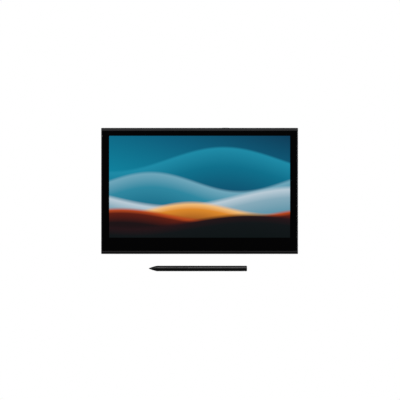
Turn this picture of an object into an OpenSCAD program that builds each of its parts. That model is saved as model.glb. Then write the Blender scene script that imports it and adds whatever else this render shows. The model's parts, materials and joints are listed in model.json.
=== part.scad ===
// Pen display: a 13.3 inch drawing screen in a slim case with fold-out legs, and its pen.
// Millimetres. +Z is up, out of the screen, and +Y is away from the user. The desk is z = 0.
// The origin is the middle of the footprint that the tablet and the pen share.
// "Near" is the edge at the user, "far" is the edge with the sockets.

/* [Screen and borders] */
// Width of the lit picture
screen_w = 294.4; // [260:0.1:345]
// Depth of the lit picture
screen_d = 165.6; // [145:0.1:195]
// From the picture to the left and right edges of the case
side_border = 12.8; // [11.5:0.1:24]
// From the picture to the far edge of the case
far_border = 12.9; // [12:0.1:24]
// From the picture to the near edge of the case
near_border = 26.5; // [24.5:0.1:45]

/* [Case] */
// Radius of the upright corners of the case
corner_r = 1.2; // [0.6:0.1:2]
// Radius of the upright corners inside the case
cavity_r = 1; // [0.5:0.1:2]
// Thickness of the upright walls
wall_t = 2.2; // [1.8:0.1:3]
// Thickness of the back cover's floor
cover_t = 1.6; // [1.2:0.1:2.6]
// Inward run of the bevel round the back
cover_bevel_run = 3; // [1:0.1:4]
// Height of the bevel round the back
cover_bevel_rise = 1.8; // [1:0.1:2]
// Inward run of the rim's bevel on the near and far edges
rim_end_run = 3.3; // [2:0.1:4]
// Inward run of the rim's bevel on the left and right edges
rim_side_run = 1.4; // [1:0.1:2]
// Height of the rim's bevel
rim_rise = 2.2; // [1.5:0.1:3]
// Flat of the rim beside the glass on the near and far edges
rim_end_land = 1.6; // [0.8:0.1:2]
// Flat of the rim beside the glass on the left and right edges
rim_side_land = 0.4; // [0.3:0.1:1]
// Thickness of the ledge under the glass
ledge_t = 1.2; // [0.9:0.1:1.6]
// Height of the lip that lines up the two halves of the case
lip_h = 1; // [0.6:0.1:1.4]
// Thickness of that lip
lip_t = 0.9; // [0.7:0.1:1.1]
// Room round that lip
lip_gap = 0.1; // [0.05:0.05:0.2]
// Bevel along the seam of the two halves
seam_bevel = 0.3; // [0.1:0.1:0.5]
// How far a boss or a wall runs into the plate that carries it
root = 0.4; // [0.2:0.1:0.6]
// Room between pieces that are pressed together
press_gap = 0.02; // [0.01:0.01:0.04]

/* [Glass and display] */
// Thickness of the cover glass
glass_t = 1.1; // [0.7:0.1:2]
// How far the glass lies below the rim
glass_drop = 0.15; // [0.05:0.05:0.3]
// Room round the glass
glass_gap = 0.15; // [0.1:0.05:0.3]
// Corner radius of the glass
glass_r = 1; // [0.5:0.1:2]
// Ground edge of the glass
glass_bevel = 0.2; // [0.1:0.05:0.4]
// Thickness of the adhesive ring under the glass
gasket_t = 0.3; // [0.2:0.05:0.5]
// Width of the adhesive ring
gasket_band = 3.2; // [2:0.1:3.6]
// From the edge of the glass to the adhesive ring
gasket_inset = 0.4; // [0.2:0.1:0.6]
// Thickness of the clear film between panel and glass
film_t = 0.25; // [0.15:0.05:0.5]
// From the panel's edge to the film's edge
film_inset = 0.5; // [0.2:0.1:1]
// Thickness of the display panel
panel_t = 1.3; // [1:0.1:2]
// Border of the panel on the left, right and far sides
panel_border = 3; // [2.4:0.1:3.6]
// Border of the panel on the near side, where its films are joined
panel_near_border = 7; // [6:0.1:8]
// Part of that border where only the lower layer reaches
panel_shelf = 3.2; // [2:0.1:4]
// Room round the panel
panel_gap = 0.5; // [0.3:0.1:0.8]
// Thickness of the diffuser
diffuser_t = 0.4; // [0.3:0.1:0.8]
// Thickness of the light guide
guide_t = 1.4; // [1.2:0.1:2]
// Thickness of the reflector
reflector_t = 0.2; // [0.1:0.05:0.4]
// Wall of the backlight frame
backlight_wall = 1.4; // [1:0.1:1.8]
// Room round the backlight layers
backlight_gap = 0.3; // [0.1:0.1:0.5]
// Thickness of the LED strip
led_strip_t = 0.4; // [0.3:0.1:0.6]
// Depth of one LED
led_d = 0.8; // [0.6:0.1:1]
// Width of one LED
led_w = 3.2; // [2:0.1:4]
// Height of one LED
led_h = 1.1; // [0.8:0.1:1.2]
// Number of LEDs
led_count = 36; // [12:1:48]
// Thickness of the pen sensor board
sensor_t = 0.5; // [0.4:0.1:1]
// Thickness of the shield plate
shield_t = 0.3; // [0.2:0.1:0.6]
// Thickness of the mid frame's plate
mid_t = 1; // [0.8:0.1:1.6]
// Room under the mid frame
mid_gap = 0.2; // [0.1:0.1:0.6]
// Room round the mid frame
mid_side_gap = 0.4; // [0.2:0.1:0.8]

/* [Panel driver and cables] */
// Length of the driver board
driver_w = 130; // [90:1:160]
// Depth of the driver board
driver_d = 8; // [6:0.5:9]
// Thickness of the driver board
driver_t = 0.8; // [0.6:0.1:1.2]
// Number of films between panel and driver board
film_count = 4; // [2:1:5]
// Width of one film
film_w = 20; // [10:1:22]
// From the panel to the driver board
film_run = 4.2; // [3:0.1:5]
// Length of a film on the panel, and of a film or a cable on the driver board
film_land = 2.2; // [1:0.1:3]
// How far a film drops past the panel's edge
film_drop = 0.6; // [0.4:0.1:0.8]
// Thickness of the films and flat cables
flex_t = 0.2; // [0.1:0.05:0.3]
// Width of the display cable
display_cable_w = 20; // [10:1:26]
// Width of the pen sensor's cable
sensor_cable_w = 16; // [8:1:20]
// Middle of the pen sensor's cable
sensor_cable_x = 22; // [12:0.5:28]
// Depth of the slots where the cables pass the mid frame
cable_slot_d = 1.6; // [1.2:0.1:2.4]
// Room at each side of a cable in its slot
cable_slot_gap = 1; // [0.5:0.1:2]
// From the driver board to the display cable's slot
cable_turn = 2.4; // [1.6:0.1:3]
// From the panel to the edge of the pen sensor cable's slot
sensor_slot_inset = 1; // [0.5:0.1:1.6]
// How tight the cables bend
cable_bend = 0.5; // [0.3:0.1:0.7]
// Length of a cable that lies on the main board
cable_land = 4; // [2:0.1:6]
// Run over which the display cable drops to the main board
cable_drop_run = 5; // [3:0.1:12]
// Depth of the sockets of the cables
cable_socket_d = 3.2; // [2:0.1:4]
// Height of the sockets of the cables
cable_socket_h = 1.2; // [0.9:0.1:1.4]
// How much wider than its cable a socket is, at each side
cable_socket_side = 1.5; // [0.5:0.1:2]

/* [Main board] */
// Width of the main board
board_w = 120; // [100:1:136]
// Depth of the main board
board_d = 40; // [34:1:56]
// Thickness of the main board
board_t = 0.8; // [0.6:0.1:1.2]
// From the main board's edges to its screws
board_screw_inset = 3.2; // [2.8:0.1:4]

/* [Sockets] */
// From the main board's left end to the middle of the left socket
usb_inset = 20; // [14:0.5:24]
// From one socket to the other
usb_pitch = 25; // [14:0.5:27]
// Width of a socket's shell
usb_w = 8.94; // [8.6:0.02:9.2]
// Height of a socket's shell
usb_h = 3.26; // [3.1:0.02:3.4]
// Length of a socket's shell
usb_l = 8.6; // [7.5:0.1:11]
// Wall of a socket's shell
usb_wall = 0.3; // [0.2:0.05:0.35]
// Length of a tab that holds a shell on the board
usb_tab_l = 1.2; // [0.8:0.1:1.4]
// How far a tab reaches from the shell
usb_tab_reach = 1.2; // [0.8:0.1:1.6]
// How far a tab runs into the shell's side
usb_tab_root = 0.25; // [0.2:0.01:0.3]
// Thickness of a tab
usb_tab_t = 0.3; // [0.2:0.05:0.35]
// From the ends of the shell on the board to its tabs
usb_tab_inset = 0.6; // [0.2:0.1:0.8]
// Width of the tongue
tongue_w = 6.7; // [6:0.1:7]
// Thickness of the tongue
tongue_t = 0.7; // [0.5:0.1:0.9]
// Length of the tongue
tongue_l = 4.6; // [4:0.1:5]
// Length of the block behind the tongue
tongue_base = 2.4; // [1.5:0.1:2.6]
// Room round that block in the shell
tongue_gap = 0.05; // [0.02:0.01:0.08]
// How far a socket's mouth lies behind the case's face
usb_recess = 0.4; // [0.2:0.1:0.8]
// Room round a socket in the case's wall
usb_gap = 0.2; // [0.1:0.05:0.3]
// Room between a socket and the floor
usb_lift = 0.6; // [0.4:0.1:1]

/* [Power button] */
// From the main board's right end to the middle of the power button
key_inset = 18; // [16:0.5:24]
// Width of the power button
key_w = 11; // [8:0.5:14]
// Height of the power button
key_h = 2.3; // [2:0.1:3]
// How far it stands out
key_proud = 0.5; // [0.4:0.1:1]
// How far it can be pressed
key_travel = 0.4; // [0.2:0.05:0.6]
// Room round it in the case's wall
key_gap = 0.15; // [0.1:0.05:0.2]
// Ears that hold it behind the wall
key_ear = 1.4; // [1:0.1:2]
// Thickness of the ears
key_ear_t = 0.8; // [0.6:0.1:1.2]
// Room between the pressed button and the main board
key_room = 0.6; // [0.3:0.1:2]
// Radius of its stem
key_stem_r = 0.6; // [0.4:0.1:0.7]
// How far the stem reaches into the switch
key_stem_sink = 0.3; // [0.2:0.05:0.6]
// Room behind the pressed stem
key_stem_room = 0.2; // [0.1:0.05:0.4]
// Room round the stem in the switch
key_stem_gap = 0.05; // [0.03:0.01:0.1]
// Width of the switch
switch_w = 4.7; // [3.5:0.1:6]
// Depth of the switch
switch_d = 3.5; // [2.5:0.1:4.5]
// Height of the switch
switch_h = 1.6; // [1.5:0.05:2]
// From the main board's edge to the switch
switch_inset = 0.1; // [0:0.05:0.4]
// From the button's ear to the middle of the status light
pipe_gap = 2.6; // [1.6:0.1:3]
// Radius of the light pipe
pipe_r = 0.7; // [0.5:0.05:0.9]
// Radius of its flange
pipe_flange_r = 1.1; // [1:0.05:1.4]
// Thickness of its flange
pipe_flange_t = 0.6; // [0.4:0.1:1]
// How far it reaches over the main board
pipe_reach = 0.3; // [0.1:0.1:0.6]
// Room between the light pipe and the main board
pipe_lift = 0.1; // [0.05:0.05:0.3]
// Width of the status LED
status_led_w = 1.8; // [1.4:0.1:2.2]
// Depth of the status LED
status_led_d = 1.2; // [0.8:0.1:1.6]
// Height of the status LED
status_led_h = 1.3; // [0.9:0.1:1.5]

/* [Legs] */
// Thickness of a leg
leg_t = 4.6; // [4.2:0.1:6]
// Width of a leg
leg_w = 46; // [34:0.5:54]
// From a leg's pivot to its end
leg_l = 58; // [46:0.5:80]
// From the side of the case to a leg
leg_side_inset = 30; // [20:0.5:36]
// From the far edge to the pivot
hinge_inset = 28; // [24:0.5:40]
// Corner radius of a leg's free end
leg_r = 4; // [2:0.5:5]
// How far a folded leg lies inside the back's face
leg_inset = 0.2; // [0.1:0.1:0.5]
// Room between a folded leg and its recess
leg_gap = 0.4; // [0.3:0.1:0.6]
// Outer skin of a leg
leg_skin = 1.8; // [1.4:0.1:2.4]
// Ribs and edges round a leg's pockets
leg_rib = 2; // [1.4:0.1:3]
// Angle of an open leg
leg_open = 105; // [95:1:110]
// Diameter of a leg's pin
pin_d = 2.4; // [2:0.1:2.8]
// Room for the leg to turn on its pin
pin_run = 0.05; // [0.03:0.01:0.08]
// Length of the pin held in the case at each end
pin_hold = 4; // [3:0.5:5]
// Wall round the pin in the case
pin_wall = 2.2; // [1.6:0.1:3]
// Thickness of a hinge washer
washer_t = 0.5; // [0.3:0.05:0.8]
// Width of a hinge washer's ring
washer_band = 0.9; // [0.6:0.1:1]
// Room at each face of a hinge washer
washer_gap = 0.1; // [0.05:0.05:0.2]
// Thickness of the recess's walls and roof
recess_t = 1; // [0.8:0.1:1.4]
// Width of the rubber at a leg's end
pad_w = 34; // [20:0.5:38]
// Height of that rubber
pad_h = 3; // [2:0.1:3.4]
// How deep the rubber sits in the leg
pad_sink = 2; // [1:0.1:2.6]
// How far the rubber stands out
pad_proud = 0.8; // [0.4:0.1:1.5]
// Width of the finger notch
notch_w = 22; // [16:0.5:28]
// Depth of the finger notch
notch_d = 8.5; // [7:0.5:11]
// Corner radius of the finger notch
notch_r = 4; // [2:0.5:6]

/* [Feet] */
// How high the back stands off the desk
foot_h = 1.2; // [0.8:0.1:3]
// How deep a foot sits in the back
foot_sink = 0.6; // [0.4:0.1:0.8]
// Length of a foot
foot_l = 50; // [20:1:60]
// Width of a foot
foot_w = 9; // [6:0.5:11]
// From the near and far edges to the middle of a foot
foot_inset = 14; // [10:0.5:16]

/* [Screws] */
// Radius of every screw's shank
screw_r = 0.9; // [0.7:0.05:1.1]
// Room round a screw in its thread
thread_gap = 0.02; // [0.01:0.01:0.04]
// Room round a screw in its clearance hole
hole_gap = 0.2; // [0.1:0.05:0.3]
// Room past a screw's tip
tip_gap = 0.4; // [0.2:0.1:0.8]
// Radius of every screw's head
head_r = 1.8; // [1.5:0.1:2.1]
// Height of every screw's head
head_h = 0.8; // [0.6:0.1:1]
// Room round a screw's head in the back
head_gap = 0.2; // [0.1:0.05:0.3]
// How deep the heads lie in the back
head_sink = 0.4; // [0.2:0.1:0.6]
// Length of the arms of a head's cross recess
cross_l = 2.2; // [1.6:0.1:2.6]
// Width of those arms
cross_w = 0.5; // [0.3:0.05:0.6]
// Depth of the cross recess
cross_d = 0.4; // [0.2:0.05:0.5]
// Radius of the bosses that take the screws
boss_r = 2.2; // [1.8:0.1:2.6]
// Thickness of the seat under a head in the back
seat_t = 1.2; // [0.8:0.1:1.6]
// From the edges of the case to the corner screws
corner_screw_inset = 9.5; // [8:0.5:11]
// Middle of the inner near screws
near_screw_x = 50; // [30:1:60]
// From the far edge to the inner far screws
far_screw_inset = 44; // [36:1:60]
// Frame screws on the left and right, from the middle
frame_screw_y = 55; // [40:1:68]
// From the driver board's ends to the frame screws beside it
frame_screw_gap = 15; // [8:0.5:25]

/* [Pen] */
// Length of the pen
pen_l = 160; // [130:1:180]
// Diameter of the pen
pen_d = 9; // [8.6:0.1:11]
// From the tablet's near edge to the pen
pen_gap = 19.4; // [8:0.2:60]
// Middle of the pen from the middle of the tablet
pen_shift = -2.8; // [-60:0.2:60]
// Wall of the barrels
pen_wall = 1.2; // [1:0.05:1.4]
// Length of the cone with the nib
cone_l = 13.3; // [12:0.1:16]
// Plastic round the nib at the front of the cone
cone_lip = 0.27; // [0.2:0.01:0.5]
// How full the cone's side is
cone_bulge = 0.25; // [0.1:0.05:0.4]
// From the upper button to the end of the front barrel
grip_tail = 15.3; // [10:0.1:30]
// Length of the end cap
cap_l = 9.6; // [7:0.2:12]
// Ring groove of the end cap, from the end
cap_groove = 4.6; // [3:0.2:5.5]
// Width and depth of that groove
groove_d = 0.4; // [0.2:0.05:0.5]
// Bevel along the pen's seams
pen_seam = 0.2; // [0.1:0.05:0.3]
// Bevel at the pen's flat end
cap_bevel = 0.6; // [0.3:0.1:1]
// Length of the plugs that join the pieces
plug_l = 5; // [4:0.2:6]
// Wall of the rear barrel's plug
plug_wall = 0.6; // [0.5:0.05:0.7]
// Room round the plugs
plug_gap = 0.05; // [0.02:0.01:0.1]
// Room between the pieces that lie in a row inside the pen
row_gap = 0.3; // [0.1:0.1:0.6]

/* [Pen nib] */
// Radius of the nib
nib_r = 0.8; // [0.6:0.05:1]
// How far the nib shows
nib_show = 1.8; // [1.2:0.1:2.4]
// Room round the nib
nib_gap = 0.08; // [0.05:0.01:0.12]
// How far the nib can be pressed in
nib_travel = 0.5; // [0.3:0.05:0.8]
// Radius of the ferrite core
ferrite_r = 2; // [1.7:0.05:2.2]
// Where the ferrite core starts, from the pen's tip
ferrite_at = 7; // [6.6:0.1:8]
// How much of the core sits in the cone's seat
ferrite_seat = 1.5; // [1:0.1:2]
// How far the core reaches through the carrier's front wall
ferrite_past = 0.2; // [0.1:0.1:0.5]
// Thickness of the winding
coil_t = 0.5; // [0.3:0.05:0.6]
// Bare core in front of the winding
coil_front = 0.5; // [0.2:0.1:2]
// Bare core between the winding and the carrier
coil_back = 1.6; // [0.4:0.1:4]
// Room round the winding
coil_gap = 0.1; // [0.05:0.05:0.2]
// Radius of the nib holder
holder_r = 1.6; // [1.2:0.1:1.9]
// How deep the nib sits in its holder
holder_sink = 2; // [1:0.1:3]
// Thickness of the holder behind the nib
holder_back = 0.7; // [0.4:0.1:1.2]
// Length of the pressure sensor
gauge_l = 2.9; // [2:0.1:4]
// Room between the pressed holder and the sensor
gauge_gap = 0.1; // [0.05:0.05:0.3]
// Wall of the carrier's tube
carrier_wall = 0.55; // [0.4:0.05:0.6]
// Room round the carrier
carrier_gap = 0.1; // [0.05:0.05:0.15]
// Thickness of the carrier's front wall
carrier_front = 1.2; // [0.8:0.1:1.6]
// From the carrier's tray to the rear barrel's plug
tray_gap = 1.6; // [0.4:0.1:4]
// Depth of the tray's face below the pen's axis
tray_drop = 0.6; // [0.4:0.1:0.8]
// Room beside the pen's circuit board
pen_board_side = 0.5; // [0.3:0.1:1]
// Room at the ends of the pen's circuit board
pen_board_end = 1; // [0.5:0.1:3]
// Thickness of the pen's circuit board
pen_board_t = 0.8; // [0.6:0.1:0.9]

/* [Pen buttons] */
// From the carrier's tube to the lower button
pen_key_lead = 2.2; // [1:0.1:8]
// Length of each button
pen_key_l = 16; // [10:0.5:20]
// Width of each button
pen_key_w = 4.2; // [3.4:0.1:4.6]
// Land between the two buttons
pen_key_land = 2; // [1.6:0.1:4]
// How far the buttons stand out
pen_key_proud = 0.3; // [0.1:0.05:0.5]
// How far they can be pressed
pen_key_travel = 0.3; // [0.15:0.05:0.4]
// Room round the buttons
pen_key_gap = 0.15; // [0.1:0.05:0.2]
// Flange that holds a button in the barrel
pen_key_flange = 0.3; // [0.25:0.05:0.4]
// Thickness of the flange
pen_key_flange_t = 0.4; // [0.3:0.05:0.5]
// Room between the flange and the barrel's bore
pen_key_rub = 0.1; // [0.05:0.05:0.2]
// Radius of a button's stem
pen_stem_r = 0.7; // [0.4:0.05:0.8]
// How far the stem reaches into its switch
pen_stem_sink = 0.1; // [0.05:0.05:0.2]
// Room under the pressed button and its stem
pen_stem_room = 0.1; // [0.05:0.05:0.2]
// Width of a pen switch
pen_switch_w = 3; // [2.4:0.1:3.6]

/* [Hidden] */
$fn = 64;
// How far a cutting shape reaches past what it cuts
over = 1;

case_black = "#26272a";
rubber_black = "#1b1b1c";
glass_black = "#08090a";
clear_film = "#9fb4bd";
panel_blue = "#1c4257";
sheet_white = "#e6e8e8";
board_green = "#1f5a3c";
chip_black = "#1d1d20";
flex_amber = "#b5762c";
steel = "#b9bcc0";
dark_steel = "#3a3b3e";
cast_grey = "#8c9196";
copper = "#b36a3a";
pen_black = "#19191b";

// Parts on the boards: middle from the board's middle, width, depth, height
chips_under = [[-12, -6, 15, 15, 1.2], [14, -8, 11, 9, 0.9], [14, 5, 11, 9, 0.9],
  [-36, -6, 7, 7, 0.9], [36, -4, 8, 8, 1]];
chips_over = [[-40, -4, 5, 5, 1.4], [-32, -4, 5, 5, 1.4], [40, -10, 6, 5, 1.2]];
driver_chips = [[-38, -1.2, 9, 3.6, 0.9], [38, -1.2, 9, 3.6, 0.9]];

// Outline of the case and of what lies inside it
tablet_w = screen_w + 2 * side_border;
tablet_d = screen_d + far_border + near_border;
half_w = tablet_w / 2;
half_d = tablet_d / 2;
screen_y = (near_border - far_border) / 2;
cavity_w = tablet_w - 2 * wall_t;
cavity_d = tablet_d - 2 * wall_t;
glass_w = tablet_w - 2 * (rim_side_run + rim_side_land + glass_gap);
glass_d = tablet_d - 2 * (rim_end_run + rim_end_land + glass_gap);
panel_w = screen_w + 2 * panel_border;
panel_d = screen_d + panel_border + panel_near_border;
panel_y = screen_y + (panel_border - panel_near_border) / 2;
panel_far = panel_y + panel_d / 2;
panel_near = panel_y - panel_d / 2;

// Levels from the desk up to the main board's parts
z_cover = foot_h;
z_floor = z_cover + cover_t;
z_recess = z_cover + leg_inset + leg_t + leg_gap;
z_port = z_floor + usb_lift + usb_h / 2;
z_board = z_port - board_t / 2;
z_board_top = z_board + board_t;
z_key = z_board_top + switch_h / 2;
z_pipe = z_board_top + pipe_lift + pipe_r;
z_parts = z_key + max(key_h, switch_h) / 2;

// Levels from the mid frame up
z_mid = max(z_recess + recess_t, z_parts) + mid_gap;
z_mid_top = z_mid + mid_t;
z_parting = z_mid_top;
z_driver = z_mid_top + driver_t;
z_sensor = z_mid_top + shield_t;
z_reflector = z_sensor + sensor_t;
z_guide = z_reflector + reflector_t;
z_diffuser = z_guide + guide_t;
z_panel = z_diffuser + diffuser_t;
z_film = z_panel + panel_t;
z_glass = z_film + film_t;
z_rim = z_glass + glass_t + glass_drop;
z_ledge = z_glass - gasket_t;
z_ledge_under = z_ledge - ledge_t;

// Backlight, counted outward from the picture
guide_side = panel_border - backlight_wall - backlight_gap;
led_line = guide_side + backlight_gap + led_d + led_strip_t;
backlight_near = led_line + backlight_wall;
backlight_d = screen_d + panel_border + backlight_near;
backlight_y = screen_y + (panel_border - backlight_near) / 2;
pocket_w = panel_w - 2 * backlight_wall;
pocket_d = backlight_d - 2 * backlight_wall;
sheet_w = screen_w + 2 * guide_side;
sheet_d = screen_d + 2 * guide_side;

// Driver board, its films and the slots for the flat cables
driver_far = panel_near - film_run;
driver_near = driver_far - driver_d;
driver_y = driver_far - driver_d / 2;
film_start = min(panel_near + film_land, backlight_y - backlight_d / 2 - backlight_gap);
z_film_low = min(z_panel, z_ledge_under) - film_drop;
near_slot_y = driver_near - cable_turn;
far_slot_y = panel_far + sensor_slot_inset + cable_slot_d / 2;

// Power button and main board, from the far wall inward
key_back = half_d - wall_t - press_gap - key_ear_t;
board_far = key_back - key_travel - key_room;
board_near = board_far - board_d;
board_y = board_far - board_d / 2;
switch_face = board_far - switch_inset;
left_usb_x = usb_inset - board_w / 2;
right_usb_x = left_usb_x + usb_pitch;
usb_back = half_d - usb_recess - usb_l;
key_x = board_w / 2 - key_inset;
pipe_x = key_x + key_w / 2 + key_ear + pipe_gap;

// Legs
pin_r = pin_d / 2;
leg_x = half_w - leg_side_inset - leg_w / 2;
leg_side_gap = washer_t + 2 * washer_gap;
hinge_y = half_d - hinge_inset;
z_hinge = z_cover + leg_inset + leg_t / 2;
hinge_back = leg_t / 2 / cos(leg_open - 90)
  + (leg_t / 2 + leg_inset) * tan(leg_open - 90) + leg_gap;
hinge_square = 3 * leg_r;
recess_w = leg_w + 2 * leg_side_gap;
recess_near = -(leg_l + pad_proud + leg_gap);
pin_l = recess_w + 2 * (recess_t + pin_hold);
foot_x = leg_x;
foot_y = half_d - foot_inset;

// Screws: the frame screws go in the strips between the panel and the walls
side_strip_x = (panel_w / 2 + cavity_w / 2) / 2;
far_strip_y = (panel_far + cavity_d / 2) / 2;
near_strip_y = (panel_near - cavity_d / 2) / 2;
frame_screw_x = driver_w / 2 + frame_screw_gap;
frame_screw_spots = [[-side_strip_x, -frame_screw_y], [-side_strip_x, frame_screw_y],
  [side_strip_x, -frame_screw_y], [side_strip_x, frame_screw_y],
  [-frame_screw_x, far_strip_y], [frame_screw_x, far_strip_y],
  [-frame_screw_x, near_strip_y], [frame_screw_x, near_strip_y]];
corner_x = half_w - corner_screw_inset;
corner_y = half_d - corner_screw_inset;
far_screw_x = (board_w / 2 + leg_x - pin_l / 2) / 2;
far_screw_y = half_d - far_screw_inset;
cover_screw_spots = [[-corner_x, -corner_y], [-corner_x, corner_y], [corner_x, -corner_y],
  [corner_x, corner_y], [-near_screw_x, -corner_y], [near_screw_x, -corner_y],
  [-far_screw_x, far_screw_y], [far_screw_x, far_screw_y]];
board_screw_spots = [for (sx = [-1, 1], sy = [-1, 1])
  [sx * (board_w / 2 - board_screw_inset), board_y + sy * (board_d / 2 - board_screw_inset)]];
z_seat = z_cover + head_sink + head_h;
z_pad = z_seat + seat_t;

// Pen, along +X from its tip
pen_r = pen_d / 2;
tablet_y = (pen_gap + pen_d - key_proud) / 2;
pen_y = tablet_y - half_d - pen_gap - pen_r;
pen_tip_x = pen_shift - pen_l / 2;
bore_r = pen_r - pen_wall;
plug_r = bore_r - plug_gap;
cone_tip_r = nib_r + nib_gap + cone_lip;
coil_r = ferrite_r + coil_t;
coil_at = ferrite_at + ferrite_seat + coil_front;
carrier_r = bore_r - carrier_gap;
carrier_in = carrier_r - carrier_wall;
carrier_at = cone_l + plug_l + row_gap;
coil_end = carrier_at - coil_back;
ferrite_end = carrier_at + carrier_front + ferrite_past;
holder_at = ferrite_end + row_gap;
nib_end = holder_at + holder_sink;
holder_end = nib_end + holder_back;
gauge_at = holder_end + nib_travel + gauge_gap;
tray_at = gauge_at + gauge_l + row_gap;
pen_key_at = tray_at + pen_key_lead;
second_key_at = pen_key_at + pen_key_l + pen_key_land;
grip_end = second_key_at + pen_key_l + grip_tail;
tray_end = grip_end - plug_l - tray_gap;
cap_at = pen_l - cap_l;
pen_board_w = 2 * (sqrt(bore_r * bore_r - tray_drop * tray_drop) - pen_board_side);
pen_board_top = pen_board_t - tray_drop;
pen_flange_w = pen_key_w + 2 * pen_key_flange;
pen_flange_r = bore_r - pen_key_rub;
pen_key_floor = sqrt(pen_flange_r * pen_flange_r - pen_flange_w * pen_flange_w / 4)
  - pen_key_flange_t;
pen_switch_top = pen_key_floor - pen_key_travel - pen_stem_room;

// Plan shapes
module rounded_rect(w, d, r) {
  square([w - 2 * r, d], center = true);
  square([w, d - 2 * r], center = true);
  for (sx = [-1, 1], sy = [-1, 1])
    translate([sx * (w / 2 - r), sy * (d / 2 - r)]) circle(r);
}

module stadium(w, h) {
  square([w - h, h], center = true);
  for (s = [-1, 1]) translate([s * (w - h) / 2, 0]) circle(h / 2);
}

module plate(w, d, r, low, high) {
  translate([0, 0, low]) linear_extrude(high - low) rounded_rect(w, d, r);
}

module slab(w, d, low, high) {
  translate([-w / 2, -d / 2, low]) cube([w, d, high - low]);
}

// Bar that cuts a bevel off an edge on the X axis, with the solid at -Y and -Z
module edge_wedge(length, run, rise) {
  past = 0.3;
  rotate([90, 0, 90]) linear_extrude(length, center = true)
    polygon([[-run * (1 + past), rise * past], [run * past, -rise * (1 + past)],
      [run * past, rise * past]]);
}

module top_bevels(w, d, z, side_run, end_run, rise) {
  translate([0, 0, z]) {
    for (m = [0, 1]) mirror([0, m, 0]) translate([0, d / 2, 0])
      edge_wedge(w + 2 * over, end_run, rise);
    for (m = [0, 1]) mirror([m, 0, 0]) translate([w / 2, 0, 0]) rotate([0, 0, -90])
      edge_wedge(d + 2 * over, side_run, rise);
  }
}

module bottom_bevels(w, d, z, side_run, end_run, rise) {
  translate([0, 0, z]) mirror([0, 0, 1]) top_bevels(w, d, 0, side_run, end_run, rise);
}

// Strip of one thickness along points in the YZ plane
function unit2(v) = v / norm(v);
function side_of(p, i) = let (
    a = i > 0 ? unit2(p[i] - p[i - 1]) : unit2(p[1] - p[0]),
    b = i < len(p) - 1 ? unit2(p[i + 1] - p[i]) : a,
    m = unit2(a + b))
  [-m[1], m[0]] / (m * b);
module ribbon(points, width) {
  last = len(points) - 1;
  rotate([90, 0, 90]) linear_extrude(width, center = true) polygon(concat(
    [for (i = [0 : last]) points[i] + side_of(points, i) * flex_t / 2],
    [for (i = [last : -1 : 0]) points[i] - side_of(points, i) * flex_t / 2]));
}

module on_tablet() { translate([0, tablet_y, 0]) children(); }

module at_spots(spots) {
  for (p = spots) translate([p[0], p[1], 0]) children();
}

module post(r, low, high) { translate([0, 0, low]) cylinder(r = r, h = high - low); }

// Screw that points up, its head below the level given
module screw(z, tip) {
  difference() {
    union() {
      post(head_r, z - head_h, z);
      post(screw_r, z, tip);
    }
    for (a = [0, 90]) rotate([0, 0, a])
      translate([0, 0, z - head_h]) cube([cross_l, cross_w, 2 * cross_d], center = true);
  }
}

// Hole through the far wall
module far_hole(x, z, w, h) {
  translate([x, half_d - wall_t / 2, z]) rotate([90, 0, 0])
    linear_extrude(wall_t + 2 * over, center = true) stadium(w, h);
}

module front_frame() color(case_black) on_tablet() difference() {
  union() {
    difference() {
      plate(tablet_w, tablet_d, corner_r, z_parting, z_rim);
      top_bevels(tablet_w, tablet_d, z_rim, rim_side_run, rim_end_run, rim_rise);
      bottom_bevels(tablet_w, tablet_d, z_parting, seam_bevel, seam_bevel, seam_bevel);
      plate(cavity_w, cavity_d, cavity_r, z_parting - over, z_ledge_under);
      plate(cavity_w + 2 * (lip_t + lip_gap), cavity_d + 2 * (lip_t + lip_gap), cavity_r,
        z_parting - over, z_parting + lip_h + lip_gap);
      plate(glass_w + 2 * glass_gap, glass_d + 2 * glass_gap, glass_r + glass_gap,
        z_ledge, z_rim + over);
      translate([0, panel_y, 0])
        slab(panel_w + 2 * panel_gap, panel_d + 2 * panel_gap, z_ledge_under - over, z_rim);
    }
    at_spots(frame_screw_spots) post(boss_r, z_mid_top, z_ledge_under + root);
  }
  at_spots(frame_screw_spots) post(screw_r + thread_gap, z_mid_top - over, z_ledge_under);
}

module cover_glass() color(glass_black) on_tablet() difference() {
  plate(glass_w, glass_d, glass_r, z_glass, z_glass + glass_t);
  top_bevels(glass_w, glass_d, z_glass + glass_t, glass_bevel, glass_bevel, glass_bevel);
}

module glass_gasket() color(rubber_black) on_tablet() difference() {
  plate(glass_w - 2 * gasket_inset, glass_d - 2 * gasket_inset, glass_r, z_ledge, z_glass);
  slab(glass_w - 2 * (gasket_inset + gasket_band), glass_d - 2 * (gasket_inset + gasket_band),
    z_ledge - over, z_glass + over);
}

module bonding_film() color(clear_film) on_tablet()
  translate([0, panel_y + panel_shelf / 2, 0])
    slab(panel_w - 2 * film_inset, panel_d - panel_shelf - 2 * film_inset, z_film, z_glass);

module display_panel() color(panel_blue) on_tablet() translate([0, panel_y, 0]) {
  slab(panel_w, panel_d, z_panel, z_panel + panel_t / 2);
  translate([0, panel_shelf / 2, 0])
    slab(panel_w, panel_d - panel_shelf, z_panel + panel_t / 2, z_film);
}

module diffuser_sheet() color(sheet_white) on_tablet() translate([0, screen_y, 0])
  slab(sheet_w, sheet_d, z_diffuser, z_panel);

module light_guide() color(clear_film) on_tablet() translate([0, screen_y, 0])
  slab(sheet_w, sheet_d, z_guide, z_diffuser);

module reflector_sheet() color(sheet_white) on_tablet() translate([0, screen_y, 0])
  slab(sheet_w, sheet_d, z_reflector, z_guide);

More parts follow.
